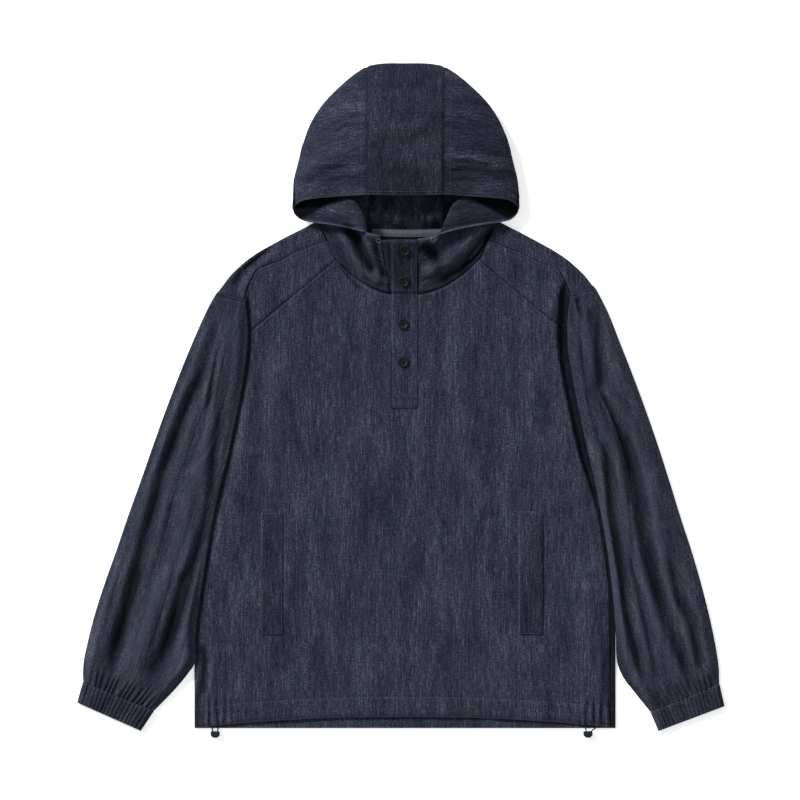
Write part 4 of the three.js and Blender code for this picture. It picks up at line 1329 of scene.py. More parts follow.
for side, sign in SIGNS.items():
    sections = [cuff_section(side, t) for t in CUFF_ROWS]
    rows = [ring for ring, _ in sections]
    uvs = [
        [(a * MM * 1.6 + 0.7, t * 0.03 + 0.5 * sign) for a in around]
        for t, (_, around) in zip(CUFF_ROWS, sections)
    ]
    rows, wear_and_shading = turn_edges(rows, {"last": 0.5, "first": 0.3}, roll=0.6, swell=0.2)
    cuff = cloth_object("denim_cuff_" + side, rows, uvs, wear_and_shading, ring=True, flip=sign > 0, thickness=1.6)
    finish_cloth(cuff, "cuff_" + side, RIB_DENIM)

# %% [markdown]
# ## The hood
#
# The hood is three panels: a side on each hand, cut with the grain across, and a centre gusset over
# the crown. It lies on its own back with its mouth open towards the neck. Each line below runs from
# the rim over the outside and round to the neck seam. A surface through all the lines, smooth both
# ways, is the hood, and its folds are pressed in along lines seen from above.

# %% The hood's lines
HOOD_PATHS = {
    "front_edge": [(19, 698.5, 27.5), (19, 693, 26), (19, 686, 24), (19, 674, 19.5), (19, 660, 14.5),
                   (19, 641, 9.5), (19, 0, 5.8)],
    "collar": [(40, 702.6, 28.5), (39.5, 699, 27), (40, 692, 24.5), (40, 682, 20.5), (41, 668, 15),
               (42, 650, 10), (45, 0, 5.8)],
    "collar_side": [(74, 712, 28), (66, 722, 31), (60, 728, 31.5), (58, 724, 28), (62, 708, 20),
                    (68, 680, 12), (76, 0, 5.8)],
    "yoke_corner": [(107, 718.6, 25), (90, 735, 31), (75, 750, 33), (72, 748, 26), (84, 728, 17),
                    (99, 704, 10), (106, 0, 5.8)],
    "neck_side": [(136, 722.5, 17), (125, 742, 19), (104, 765, 17), (103, 768, 11), (112, 755, 8),
                  (122, 735, 7.4), (120.5, 702.5, 6.4)],
    "shoulder": [(152.5, 727.5, 14), (147, 742, 14.5), (138, 760, 13), (134, 768, 9), (134, 760, 6.5),
                 (133, 745, 6), (129.5, 716.5, 5.6)],
    "corner": [(162, 740, 14), (161.5, 752, 13), (160, 764, 11), (158, 775, 7), (150, 772, 3.4),
               (141, 750, 3), (134.5, 727, 3.5)],
    "back_side": [(151.6, 752, 23), (153.5, 772, 22), (155, 795, 18), (154, 806, 10), (146, 800, 2.2),
                  (134, 760, 1.2), (122, 718.5, 1)],
    "back_quarter": [(129, 756.5, 33), (132, 795, 33), (133, 835, 27), (136, 864, 13), (124, 848, 1),
                     (112, 780, 1), (106, 711.8, 1)],
    "crown_side": [(94, 759, 42), (96, 812, 43), (98, 868, 36), (102, 910, 15), (92, 893, 1),
                   (84, 800, 1), (82, 710, 1)],
    "crown_seam": [(56, 761, 48), (56, 815, 50), (56, 888, 41), (56, 945, 16), (55, 927, 1),
                   (55, 820, 1), (55, 709.6, 1)],
    "crown": [(0, 760, 50), (0, 815, 52), (0, 890, 43), (0, 950.5, 17), (0, 930, 1),
              (0, 820, 1), (0, 709.2, 1)],
}
OPEN_LEFT = {
    "front_edge": [(35, 704, 27.5), (34.5, 698, 26.5), (33.5, 690, 24), (31.5, 677, 19.5),
                   (28.5, 662, 14.5), (25, 642, 9.5), (21.6, 0, 5.8)],
    "collar": [(52, 707, 28.5), (52, 703, 27), (51.5, 695, 24.5), (50, 684, 20.5), (49, 669, 15),
               (48.5, 651, 10), (48, 0, 5.8)],
}
HOOD_LEFT_SHIFTS = [2, 2, 2, 2, 3, 5, 7.2]
HOOD_FOLDS = [
    (-10, 6.5, [(-88, 724), (-72, 702), (-58, 672), (-42, 646)]),
    (-6, 4, [(-44, 700), (-38, 676), (-31, 652), (-26, 636)]),
    (5, 6, [(-92, 708), (-72, 676), (-50, 648), (-34, 632)]),
    (6, 9, [(24, 644), (58, 668), (88, 698), (108, 722)]),
    (-11, 8, [(48, 634), (82, 654), (108, 684), (132, 718)]),
    (-8, 8, [(20, 690), (38, 680), (50, 664), (56, 650)]),
]
CROWN_FOLDS = [
    (-1.6, 7, [(-150, 772), (-120, 790), (-84, 800)]),
    (-1.5, 7, [(-156, 800), (-128, 824), (-96, 840)]),
    (1.4, 8, [(-158, 786), (-124, 806), (-88, 818)]),
    (-1.8, 7, [(152, 776), (122, 792), (86, 806)]),
    (-1.5, 7, [(150, 806), (122, 822), (92, 826)]),
    (1.3, 8, [(156, 790), (122, 806), (84, 816)]),
    (-1.5, 3, [(-58, 873), (-84, 869), (-112, 856)]),
    (-1.2, 3, [(-58, 862), (-78, 860), (-98, 852)]),
    (-1.3, 3, [(-60, 812), (-92, 814), (-128, 806)]),
    (-1.4, 3, [(-60, 798), (-98, 800), (-140, 794)]),
    (-1.3, 3, [(-62, 784), (-94, 784), (-122, 778)]),
    (-1.3, 3, [(58, 872), (84, 868), (108, 858)]),
    (-1.4, 3, [(60, 806), (92, 808), (136, 800)]),
    (-1.3, 3, [(60, 794), (86, 796), (112, 792)]),
    (-1.2, 3, [(62, 780), (96, 780), (128, 774)]),
    (-1.4, 5, [(-60, 768), (-58, 812), (-62, 862)]),
    (-1.4, 5, [(62, 768), (60, 806), (64, 850)]),
    (-1.8, 9, [(-40, 776), (-10, 792), (36, 782)]),
    (-1.6, 8, [(-30, 846), (6, 838), (44, 852)]),
]


def hood_path(name, sign):
    opened = sign < 0 and name in OPEN_LEFT
    line = []
    for i, (px, py, z) in enumerate(OPEN_LEFT[name] if opened else HOOD_PATHS[name]):
        shift = HOOD_LEFT_SHIFTS[i] * min(1, px / 100) if sign < 0 and not opened else 0
        x = sign * (px - shift)
        line.append((x, py or neck_y(x) + 0.9, z))
    return line


PATH_NAMES = list(HOOD_PATHS)
HOOD_MAP = [hood_path(name, 1) for name in PATH_NAMES]
HOOD_MAP += [hood_path(name, -1) for name in PATH_NAMES[-2::-1]]
COLLAR_END = PATH_NAMES.index("shoulder")
CROWN_SEAM = PATH_NAMES.index("crown_seam")
LAST_PATH = len(HOOD_MAP) - 1


def hood_point(path, along):
    """A point of the hood, path lines round it and along rows down the line."""
    return between([between(line, along) for line in HOOD_MAP], path)


print("the hood is drawn through", len(HOOD_MAP), "lines")

# %% [markdown]
# ### The hood's surface
#
# The rows are the share of the way along the lines: 0 is the rim, the outside ends at about 3, and 6
# is the neck seam. The collar, near the front edges, is crumpled on its inner face, which shows. The
# crown sags between its ridges, and under it the hood's back lies in crumpled folds on the table.

# %% The hood's surface
HOOD_HALF = 0.8  # from the middle of the CAD wall to its outer face
HOOD_LOWEST = 0.05  # no cloth lies under the table
RIM_ROWS = [0, 0.012, 0.03, 0.055, 0.09, 0.14, 0.2]
OUTSIDE_END = 3.2
NECK_ROW = 6.0
HOOD_ALONG = RIM_ROWS + [lerp(0.25, OUTSIDE_END, f) for f in steps(88)]
HOOD_ALONG += [lerp(3.25, 5.85, f) for f in steps(56)] + [5.9, 5.94, 5.97, NECK_ROW]
CROWN_RIPPLES = [(3.2, 62, 40, 43), (1.4, 34, 15, 44)]
CROWN_SAG = 8.5


def hood_relief(path, along, x, y):
    """How far the hood's cloth moves off the CAD surface, along its normal."""
    mirrored = min(path, LAST_PATH - path)
    if mirrored < COLLAR_END and along > 1.2:
        inward = smooth((along - 1.2) / 0.8) * smooth((NECK_ROW - along) / 0.5)
        inward *= smooth((COLLAR_END - mirrored) / 0.8)
        return inward * (creases(HOOD_FOLDS, x, y) + 0.5 * rumple(x, y, 14, 14, 41))
    if mirrored < COLLAR_END:
        return 0.5 * rumple(x, y, 16, 16, 42)
    if along < OUTSIDE_END:
        crown = ripples(CROWN_RIPPLES, x, y)
        crown -= CROWN_SAG * smooth((1.5 - along) / 1.5) * smooth((150 - abs(x)) / 60)
        return crown * smooth((OUTSIDE_END - along) / 0.8) + creases(CROWN_FOLDS, x, y)
    return 0.0


def inner_folds(path, along, x, y):
    """The crumpled back of the hood, which lies on the table inside the mouth."""
    if along < 4.2 or not 5.5 < path < LAST_PATH - 5.5:
        return 0.0
    mouth = smooth((along - 4.2) / 1.0) * smooth((5.97 - along) / 0.25)
    side = smooth((105 - abs(x)) / 30)
    ridge = abs(rumple(x, y, 15, 60, 51)) + 0.6 * abs(rumple(x + 0.3 * y, y, 24, 40, 52))
    return mouth * side * (4 + 20 * ridge)


def hood_grid(start, end, columns):
    middle = [
        [hood_point(lerp(start, end, g), along) for g in steps(columns)] for along in HOOD_ALONG
    ]
    outward = normals_of(middle, way=-1)
    rows = []
    for r, along in enumerate(HOOD_ALONG):
        line = []
        for c, g in enumerate(steps(columns)):
            path = lerp(start, end, g)
            x, y, z = middle[r][c]
            n = outward[r][c]
            level = smooth(2.0 * abs(n.z))
            move = HOOD_HALF + level * hood_relief(path, along, x, y)
            z = z + move * n.z + inner_folds(path, along, x, y)
            y = y - 4.0 * smooth((y - 885) / 65)
            line.append((x + move * n.x, y + move * n.y, max(HOOD_LOWEST, z)))
        rows.append(line)
    return rows, outward


def under_rim(path, along, x, y):
    """Painted shade: 1 on the ends of the turned front edges, which never see the light under the hood's
    rim.
    """
    mirrored = min(path, LAST_PATH - path)
    if along > 2.6 or not 2.5 < mirrored < 6.6:
        return 0.0
    return 0.15 + smooth((abs(x) - 140 + 1.8 * (y - 731)) / 14 + 0.5)


HOOD_PAINTED_SHADE = {"right": 0.2, "centre": 0.38, "left": 0.02}  # painted shade on each panel, least on the left one, which faces the key lamp
COLLAR_PAINTED_SHADE = 0.17  # painted shade on the hood below its rim, which the rim shades
# the first line, the last line and the columns of each panel
HOOD_PIECES = {
    "right": (0.0, CROWN_SEAM + 0.03, 92),
    "centre": (CROWN_SEAM + 0.0006, LAST_PATH - CROWN_SEAM - 0.0006, 34),
    "left": (LAST_PATH - CROWN_SEAM - 0.03, LAST_PATH, 92),
}
for part, (start, end, columns) in HOOD_PIECES.items():
    rows, outward = hood_grid(start, end, columns)
    down = side_distances(rows, "first")
    across = side_distances(rows, "left")
    if part == "centre":
        uvs = [[(a * MM, d * MM + 0.9) for a, d in zip(*pair)] for pair in zip(across, down)]
    else:
        uvs = [[(d * MM + 0.2 * len(part), a * MM) for a, d in zip(*pair)] for pair in zip(across, down)]
    rows, wear_and_shading = turn_edges(
        rows, {"first": 0.9, "left": -0.5, "right": -0.5, "last": -0.4}, roll=0.8, lift=outward,
    )
    rows = [[(x, y, max(HOOD_LOWEST, z)) for x, y, z in row] for row in rows]
    # painted shade in the folds, with painted highlight on their ridges, on each panel, on the collar
    # under the rim, and under the rim's ends
    paint_shading(rows, wear_and_shading, fold_painted_shading(HOOD_FOLDS + CROWN_FOLDS, 8))
    paint_shading(rows, wear_and_shading, lambda x, y: HOOD_PAINTED_SHADE[part] if y > 760 else COLLAR_PAINTED_SHADE + under_collar(x, y))
    for along, row, row_shading in zip(HOOD_ALONG, rows, wear_and_shading):
        for c, g in enumerate(steps(columns)):
            row_shading[c] -= 1.1 * under_rim(lerp(start, end, g), along, row[c][0], row[c][1])
    GRIDS["hood_" + part] = rows
    hood = cloth_object("denim_hood_" + part, rows, uvs, wear_and_shading, flip=True)
    finish_cloth(
        hood, "hood_" + part, HOOD_DENIM,
    )

# %% [markdown]
# ## The placket
#
# Two strips of denim run from the box stitch on the chest, over the neck seam, to the top of the
# collar. The upper one carries the buttonholes and has a rounded corner, and the lower one carries
# the buttons. They follow the collar's front edge as it rises.

# %% The placket
PLACKET_TOP = 697
PLACKET_CORNER = 6
PLACKET_LEFT = -19.7
PLACKET_RIGHT = 18.4
PLACKET_ROWS = [456.5, 457.3, 458.6, 461] + [lerp(465, 690, f) for f in steps(122)]
PLACKET_ROWS += [691.5, 693, 694.3, 695.4, 696.3, PLACKET_TOP]
PLACKET_COLUMNS = (0, 0.03, 0.07, 0.13, 0.2, 0.3, 0.4, 0.5, 0.6, 0.7, 0.8, 0.87, 0.93, 0.97, 1)
NECK_SEAM = 622
BOX_TOP = 471


def placket_height(y):
    """The height of the middle of the cloth between the two strips."""
    edge = HOOD_MAP[0]
    if y < edge[6][1]:
        return edge[6][2]
    return between(edge, row_at(edge, 1, y))[2]


def placket_grid(left_at, right_at, lift):
    """The strip between two edges, lift millimetres over the middle of the cloth."""
    rows = []
    for y in PLACKET_ROWS:
        loose = smooth((y - 640) / 30)
        seam = 0.7 * hump(y - NECK_SEAM, 1.8)
        line = []
        for f in PLACKET_COLUMNS:
            x = lerp(left_at(y), right_at(y), f)
            ripple = 0.35 * rumple(x, y, 12, 40, 61) + 0.9 * rumple(x, y, 9, 26, 62) * loose
            line.append((x, y, placket_height(y) + lift + ripple - seam))
        rows.append(line)
    return rows


def over_left(y):
    up = clamp(y - (PLACKET_TOP - PLACKET_CORNER), 0, PLACKET_CORNER)
    return PLACKET_LEFT + PLACKET_CORNER - math.sqrt(PLACKET_CORNER**2 - up**2)


def under_left(y):
    edge = HOOD_MAP[LAST_PATH]
    if y < 620.5:
        return PLACKET_LEFT
    return between(edge, row_at(edge, 1, y))[0] + 1.2


def strip_shade(x, y):
    """Painted shade on the upper strip: the collar's shade past the neck seam, dark lines at the neck
    seam and the box stitch, and its left edge low down.
    """
    seam = hump(y - NECK_SEAM, 1.6)
    box = 0.5 * hump(y - BOX_TOP, 1.2)
    low_left = 0.9 * smooth((560 - y) / 30) * hump(x - PLACKET_LEFT, 2.4)
    return max(seam, box, low_left, 0.55 * smooth((y - NECK_SEAM + 14) / 46))


# left edge, right edge, height over the middle of the cloth and thickness
STRIPS = {
    "over": (over_left, lambda y: PLACKET_RIGHT, 2.1, 1.2),
    "under": (under_left, lambda y: 14.0, 0.1, 1.0),
}
for part, (left_at, right_at, lift, thickness) in STRIPS.items():
    rows, wear_and_shading = turn_edges(
        placket_grid(left_at, right_at, lift), {"first": -0.7, "last": 0.7, "left": 0.3, "right": -0.4},
        roll=0.75, swell=0.25,
    )
    # painted shade: strip_shade on the upper strip, and the lower strip, under the upper one, darkened
    # all over
    paint_shading(rows, wear_and_shading, strip_shade if part == "over" else lambda x, y: 0.7)
    strip = cloth_object(
        "denim_placket_" + part, rows, flat_uvs(rows, 3.3 + lift), wear_and_shading, thickness=thickness,
    )
    finish_cloth(strip, "placket_" + part, DENIM)

# %% [markdown]
# ## Pocket welts
#
# A welt is a narrow folded strip that stands over the pocket's mouth. It is sewn down at both ends,
# and its outer long edge is open, so that edge stands a little higher.

# %% The welts
# lowest and highest x, lowest and highest y
WELTS = {"left": (-206, -174, 133, 309), "right": (162, 197, 133, 311)}
WELT_COLUMNS = [0, 0.03, 0.08, 0.16, 0.28, 0.4, 0.52, 0.64, 0.76, 0.86, 0.93, 0.97, 1]
WELT_ROWS = [0, 0.005, 0.015, 0.03] + [lerp(0.05, 0.95, f) for f in steps(42)]
WELT_ROWS += [0.97, 0.985, 0.995, 1]
WELT_LIFT = 1.5


def welt_grid(x_low, x_high, y_low, y_high):
    rows = []
    outer = x_low if x_low < 0 else x_high
    for g in WELT_ROWS:
        y = lerp(y_low, y_high, g)
        gape = smooth(g * 5) * smooth(5 - 5 * g)
        line = []
        for f in WELT_COLUMNS:
            x = lerp(x_low, x_high, f)
            near = hump(x - outer, 9)
            z = front_top(x, y) + max(0.0, body_relief(x, y)) + WELT_LIFT + gape * near
            line.append((x, y, z + 0.25 * rumple(x, y, 14, 40, 71)))
        rows.append(line)
    return rows


for side, (x_low, x_high, y_low, y_high) in WELTS.items():
    rows, wear_and_shading = turn_edges(
        welt_grid(x_low, x_high, y_low, y_high), {"first": 0.0, "last": 0.0, "left": 0.5, "right": 0.1},
        roll=1.0, swell=0.3,
    )
    # painted shade over the whole welt
    paint_shading(rows, wear_and_shading, lambda x, y: 0.34)
    welt = cloth_object("denim_welt_" + side, rows, flat_uvs(rows, 4.7 + x_low * MM), wear_and_shading)
    finish_cloth(
        welt, "welt_" + side, DENIM,
    )

# %% [markdown]
# ## Neck tape
#
# A pale twill tape covers the back neck seam inside, and it is the brightest thing in the hood's
# shadow. It sags a little between its ends.

# %% The neck tape
TAPE = (-47, 54, 703.5, 714)


def tape_grid():
    rows = []
    for g in (0, 0.06, 0.2, 0.4, 0.6, 0.8, 0.94, 1):
        line = []
        for f in steps(40):
            x = lerp(TAPE[0], TAPE[1], f)
            sag = 1.5 * math.sin(math.pi * f)
            fold = 0.6 * rumple(x, 0, 18, 18, 81)
            line.append((x, lerp(TAPE[2], TAPE[3], g) - sag, 3.9 + fold + 1.2 * hump(g - 0.5, 0.3)))
        rows.append(line)
    return rows


tape_rows = tape_grid()
tape_wear = [[0.0] * len(row) for row in tape_rows]
tape = cloth_object("twill_neck_tape", tape_rows, flat_uvs(tape_rows, 0.0), tape_wear, thickness=0.8)
finish_cloth(tape, "neck_tape", TWILL_TAPE)

# %% [markdown]
# ## Hard trims
#
# Buttons, eyelets and cord locks are turned, pressed and moulded. Each starts here as a plain solid
# at the origin. Faces are chosen by where they are and pushed in or out, edges are bevelled, and
# holes are cut with a tool. Then the piece is set down where it belongs, tilted as the cloth is.


# %% Helpers for hard trims
def new_primitive(name, add, **settings):
    """A primitive made by its operator, in edit mode with all of it selected."""
    add(**settings)
    obj = bpy.context.object
    obj.name = name
    bpy.ops.object.mode_set(mode="EDIT")
    bpy.ops.mesh.select_all(action="SELECT")
    return obj


def select_faces(obj, test):
    """Selects the faces whose centre and normal pass a test, and nothing else."""
    bpy.ops.mesh.select_mode(type="FACE")
    bpy.ops.mesh.select_all(action="DESELECT")
    bpy.ops.object.mode_set(mode="OBJECT")
    for face in obj.data.polygons:
        face.select = test(face.center, face.normal)
    bpy.ops.object.mode_set(mode="EDIT")


def cut_away(obj, tool):
    """Takes the tool's form out of an object, and removes the tool."""
    select_alone(obj)
    cutter = obj.modifiers.new("cut", "BOOLEAN")
    cutter.object = tool
    cutter.solver = "EXACT"
    bpy.ops.object.modifier_apply(modifier=cutter.name)
    bpy.data.objects.remove(tool, do_unlink=True)


def place_piece(obj, place, tilt=None, angle=40):
    """Sets a finished piece down, with its transform applied and its shading smoothed."""
    select_alone(obj)
    obj.location = place
    if tilt is not None:
        obj.rotation_mode = "QUATERNION"
        obj.rotation_quaternion = tilt
    bpy.ops.object.transform_apply(location=True, rotation=True, scale=True)
    bpy.ops.object.shade_smooth_by_angle(angle=math.radians(angle))
    obj.select_set(False)


def bevel_edges(obj, width, angle):
    """Rounds the edges sharper than an angle; the width is in millimetres."""
    edge = obj.modifiers.new("edges", "BEVEL")
    edge.width = width * MM
    edge.segments = 3
    edge.limit_method = "ANGLE"
    edge.angle_limit = math.radians(angle)
    bpy.ops.object.modifier_apply(modifier=edge.name)


def face_outwards(obj, angle):
    """Turns a closed mesh's faces outwards, and smooths the edges flatter than an angle."""
    bpy.ops.object.mode_set(mode="EDIT")
    bpy.ops.mesh.select_all(action="SELECT")
    bpy.ops.mesh.normals_make_consistent(inside=False)
    bpy.ops.object.mode_set(mode="OBJECT")
    bpy.ops.object.shade_smooth_by_angle(angle=math.radians(angle))
    obj.select_set(False)


def top_of(obj, x, y, from_mm=90):
    """Where a plumb line at x, y meets a piece, and the normal there, in the frame's metres."""
    start = metres((x, y, from_mm))
    hit, place, normal, _ = obj.ray_cast(start, Vector((0, 0, -1)))
    return (place, normal) if hit else (None, None)


over_strip = bpy.data.objects["denim_placket_over"]
bpy.context.view_layer.update()
print("the placket is ready for buttons:", over_strip.name)

# %% [markdown]
# ### Buttons
#
# Four dark resin buttons with a raised rim and four holes are sewn on with dark thread. Each is
# turned on a lathe in the factory: here a disc gets a sunk middle by an inset pushed down, its edges
# are bevelled, and four holes are cut. They stay where they are: undoing one would need cloth that
# bends, so nothing moves here.

# %% The buttons
BUTTON_RADIUS = 7.5
BUTTON_THICK = 2.5
HOLE_RADIUS = 0.95
HOLE_STEP = 1.8
BUTTON_GAP = 0.3  # the thread's shank holds the button this far off the cloth
BUTTON_PLACES = [(-0.9, 682.5), (-2, 638.5), (-2.9, 577.7), (-2.9, 523.4)]
CLOTH_PROBES = ((0, 6), (-6, -4), (6, -4), (0, 0))
THREAD_MM = 0.55


def button_object(name):
    """A disc with two sunk steps, a round rim and four holes."""
    obj = new_primitive(
        name, bpy.ops.mesh.primitive_cylinder_add, vertices=56, radius=BUTTON_RADIUS * MM,
        depth=BUTTON_THICK * MM, end_fill_type="NGON",
    )
    select_faces(obj, lambda centre, normal: normal.z > 0.9)
    bpy.ops.mesh.inset(thickness=1.5 * MM)
    bpy.ops.mesh.inset(thickness=0.7 * MM)
    bpy.ops.transform.translate(value=(0, 0, -0.75 * MM))
    bpy.ops.mesh.inset(thickness=1.4 * MM)
    bpy.ops.transform.translate(value=(0, 0, -0.25 * MM))
    bpy.ops.object.mode_set(mode="OBJECT")
    bevel_edges(obj, 0.55, 50)
    for sx, sy in ((1, 1), (-1, 1), (-1, -1), (1, -1)):
        bpy.ops.mesh.primitive_cylinder_add(
            vertices=16, radius=HOLE_RADIUS * MM, depth=0.01,
            location=(sx * HOLE_STEP * MM, sy * HOLE_STEP * MM, 0),
        )
        cut_away(obj, bpy.context.object)
    return obj


def button_thread(name):
    """Two strands over the button, from hole to hole, as they are sewn."""
    strands = []
    for sy in (1, -1):
        strand = new_primitive(
            name, bpy.ops.mesh.primitive_cylinder_add, vertices=10, radius=THREAD_MM * MM,
            depth=2 * HOLE_STEP * MM + THREAD_MM * MM, location=(0, sy * HOLE_STEP * MM, 0.62 * MM),
            rotation=(0, math.pi / 2, 0),
        )
        bpy.ops.mesh.bevel(offset=0.2 * MM, segments=2, affect="EDGES")
        bpy.ops.object.mode_set(mode="OBJECT")
        strands.append(strand)
    select_alone(strands[0])
    strands[1].select_set(True)
    bpy.ops.object.join()
    return strands[0]


for number, (x, y) in enumerate(BUTTON_PLACES, 1):
    seats = [top_of(over_strip, x + dx, y + dy)[0] for dx, dy in CLOTH_PROBES]
    normal = (seats[1] - seats[0]).cross(seats[2] - seats[0]).normalized()
    tilt = normal.to_track_quat("Z", "Y")
    seat = max(seats, key=lambda point: point.dot(normal))
    up = (seat - seats[3]).dot(normal) + (BUTTON_GAP + BUTTON_THICK / 2) * MM
    middle = seats[3] + normal * up
    button = button_object(f"resin_button_{number}")
    place_piece(button, middle, tilt)
    declare(button, RESIN, f"button_{number}")
    sewn = button_thread(f"button_thread_{number}")
    place_piece(sewn, middle, tilt)
    declare(sewn, DARK_THREAD)
    print(button.name, "metres:", [round(v, 4) for v in middle])

# %% [markdown]
# ### Eyelets
#
# A brass eyelet is pressed through the collar on each side of the opening, for a drawcord that this
# garment wears without. Its section, a rolled flange on a short barrel, is spun round its axis.

# %% The eyelets
# distance from the axis and height along it
EYELET_SECTION = [
    (1.9, -1.2), (1.9, 1.15), (2.3, 1.6), (3.2, 1.75), (4.0, 1.45), (4.2, 1.1), (2.5, 1.1), (2.5, -1.2),
]
EYELET_PATH = {"left": LAST_PATH - 0.25, "right": 1.02}
EYELET_ALONG = 1.35


def hood_way(path, along, path_step, along_step):
    """The way over the hood's surface at a place."""
    ahead = hood_point(path + path_step, along + along_step)
    behind = hood_point(path - path_step, along - along_step)
    return Vector(ahead) - Vector(behind)


def eyelet_object(name):
    """The section is drawn as a loop of edges and spun full turn."""
    count = len(EYELET_SECTION)
    loop = [(i, (i + 1) % count) for i in range(count)]
    obj = mesh_object(name, [(r * MM, 0, z * MM) for r, z in EYELET_SECTION], [], loop)
    bpy.ops.object.mode_set(mode="EDIT")
    bpy.ops.mesh.select_all(action="SELECT")
    bpy.ops.mesh.spin(steps=28, angle=2 * math.pi, center=(0, 0, 0), axis=(0, 0, 1))
    bpy.ops.mesh.select_all(action="SELECT")
    bpy.ops.mesh.remove_doubles(threshold=0.02 * MM)
    bpy.ops.mesh.normals_make_consistent(inside=False)
    bpy.ops.object.mode_set(mode="OBJECT")
    return obj


for side in SIGNS:
    path = EYELET_PATH[side]
    place = Vector(hood_point(path, EYELET_ALONG))
    across = hood_way(path, EYELET_ALONG, 0.05, 0)
    along = hood_way(path, EYELET_ALONG, 0, 0.05)
    normal = across.cross(along).normalized()
    normal = normal if normal.z > 0 else -normal
    eyelet = eyelet_object("nickel_eyelet_" + side)
    place_piece(eyelet, metres(place), normal.to_track_quat("Z", "Y"), angle=50)
    declare(eyelet, NICKEL, "eyelet_" + side)
    print(eyelet.name, [round(v, 4) for v in metres(place)])

# %% [markdown]
# ### Hem cords and cord locks
#
# At each side of the hem a loop of shock cord comes out of the hem's channel, through a cord lock
# that pinches it. The cord is a tube of small rings along its route, with a braid on its UV map.
# The lock is a rounded block with two bores for the cord, and a groove where its plunger slides.

# %% The hem cords
CORD_MM = 2.0
CORD_ROUTES = {
    "left": [
        (-277, 16, 3.3), (-276, 3, 3.3), (-274.6, -5, 3.6), (-273.2, -9, 3.7), (-271.4, -10.4, 3.7),
        (-269.6, -9, 3.7), (-268.2, -5, 3.6), (-266.7, 3, 3.3), (-266, 16, 3.3),
    ],
    "right": [
        (257, 17, 3.3), (258, 3.5, 3.3), (259, -5, 3.6), (259.8, -9, 3.7), (261.6, -10.4, 3.7),
        (263.6, -9, 3.7), (265.6, -5, 3.6), (275, 3.5, 3.3), (276, 17, 3.3),
    ],
}
LOCK_PLACES = {"left": (-271.4, -9), "right": (261.4, -8.9)}
LOCK_SIZE = (13, 9, 7.4)
LOCK_STEP = 2.6  # how far the plunger stands out of the barrel
BORE_STRANDS = ((2, 3), (6, 5))  # the points of the route on each side of a bore's mouth
CORD_SIDES = 14
CORD_RINGS = 72


def cord_object(name, route):
    """A tube of rings through the route's points; its UV map is turns round and metres along."""
    last = len(route) - 1
    line = [metres(between(route, g * last)) for g in steps(CORD_RINGS)]
    points = []
    along = [0.0]
    for i, point in enumerate(line):
        ahead = (line[min(i + 1, CORD_RINGS)] - line[max(i - 1, 0)]).normalized()
        side_way = ahead.cross(Vector((0, 0, 1))).normalized()
        up = side_way.cross(ahead)
        if i:
            along.append(along[-1] + (point - line[i - 1]).length)
        for k in range(CORD_SIDES):
            angle = 2 * math.pi * k / CORD_SIDES
            points.append(point + (side_way * math.cos(angle) + up * math.sin(angle)) * CORD_MM / 2 * MM)
    faces = []
    uvs = []
    for i in range(CORD_RINGS):
        for k in range(CORD_SIDES):
            ring = [(i, k), (i, k + 1), (i + 1, k + 1), (i + 1, k)]
            faces.append([r * CORD_SIDES + s % CORD_SIDES for r, s in ring])
            uvs += [(s / CORD_SIDES, along[r]) for r, s in ring]
    corners = list(range(len(points)))
    for ring in (corners[:CORD_SIDES], corners[: -CORD_SIDES - 1 : -1]):
        faces.append(ring)
        uvs += [(0, 0)] * CORD_SIDES
    obj = mesh_object(name, points, faces, uvs=uvs)
    face_outwards(obj, 60)
    return obj, line, along[-1]


def bore_lock(obj, x, y, side):
    """Bores the lock from its upper end for each strand of the cord."""
    for ends in BORE_STRANDS:
        near, far = (CORD_ROUTES[side][k] for k in ends)
        middle = [(a + b) / 2 for a, b in zip(near, far)]
        bpy.ops.mesh.primitive_cylinder_add(
            vertices=20, radius=1.45 * MM, depth=7 * MM, rotation=(math.pi / 2, 0, 0),
            location=((middle[0] - x) * MM, 3.6 * MM, (middle[2] - LOCK_SIZE[2] / 2) * MM),
        )
        cut_away(obj, bpy.context.object)


def lock_object(name):
    """A rounded block with a step round it, where the plunger slides in the barrel."""
    obj = new_primitive(
        name, bpy.ops.mesh.primitive_cube_add, size=1, scale=[v * MM for v in LOCK_SIZE],
    )
    select_faces(obj, lambda centre, normal: normal.y < -0.9)
    bpy.ops.transform.translate(value=(0, LOCK_STEP * MM, 0))
    bpy.ops.mesh.inset(thickness=0.7 * MM)
    bpy.ops.mesh.extrude_region_move(TRANSFORM_OT_translate={"value": (0, -LOCK_STEP * MM, 0)})
    bpy.ops.transform.resize(value=(0.6, 1, 0.8))
    bpy.ops.object.mode_set(mode="OBJECT")
    bpy.ops.object.transform_apply(location=False, rotation=False, scale=True)
    bevel_edges(obj, 1.9, 40)
    bpy.ops.object.mode_set(mode="EDIT")
    bpy.ops.mesh.select_all(action="SELECT")
    bpy.ops.mesh.remove_doubles(threshold=0.02 * MM)
    bpy.ops.mesh.dissolve_degenerate(threshold=0.02 * MM)
    bpy.ops.object.mode_set(mode="OBJECT")
    return obj


for side, route in CORD_ROUTES.items():
    x, y = LOCK_PLACES[side]
    lock = lock_object("nylon_lock_" + side)
    bore_lock(lock, x, y, side)
    place_piece(lock, metres((x, y, LOCK_SIZE[2] / 2)))
    declare(lock, NYLON, "cord_lock_" + side)
    cord, line, length = cord_object("braided_hem_cord_" + side, route)
    declare(cord, BRAID, "hem_cord_" + side)
    print(cord.name, "is", round(length * 1000, 1), "mm long")

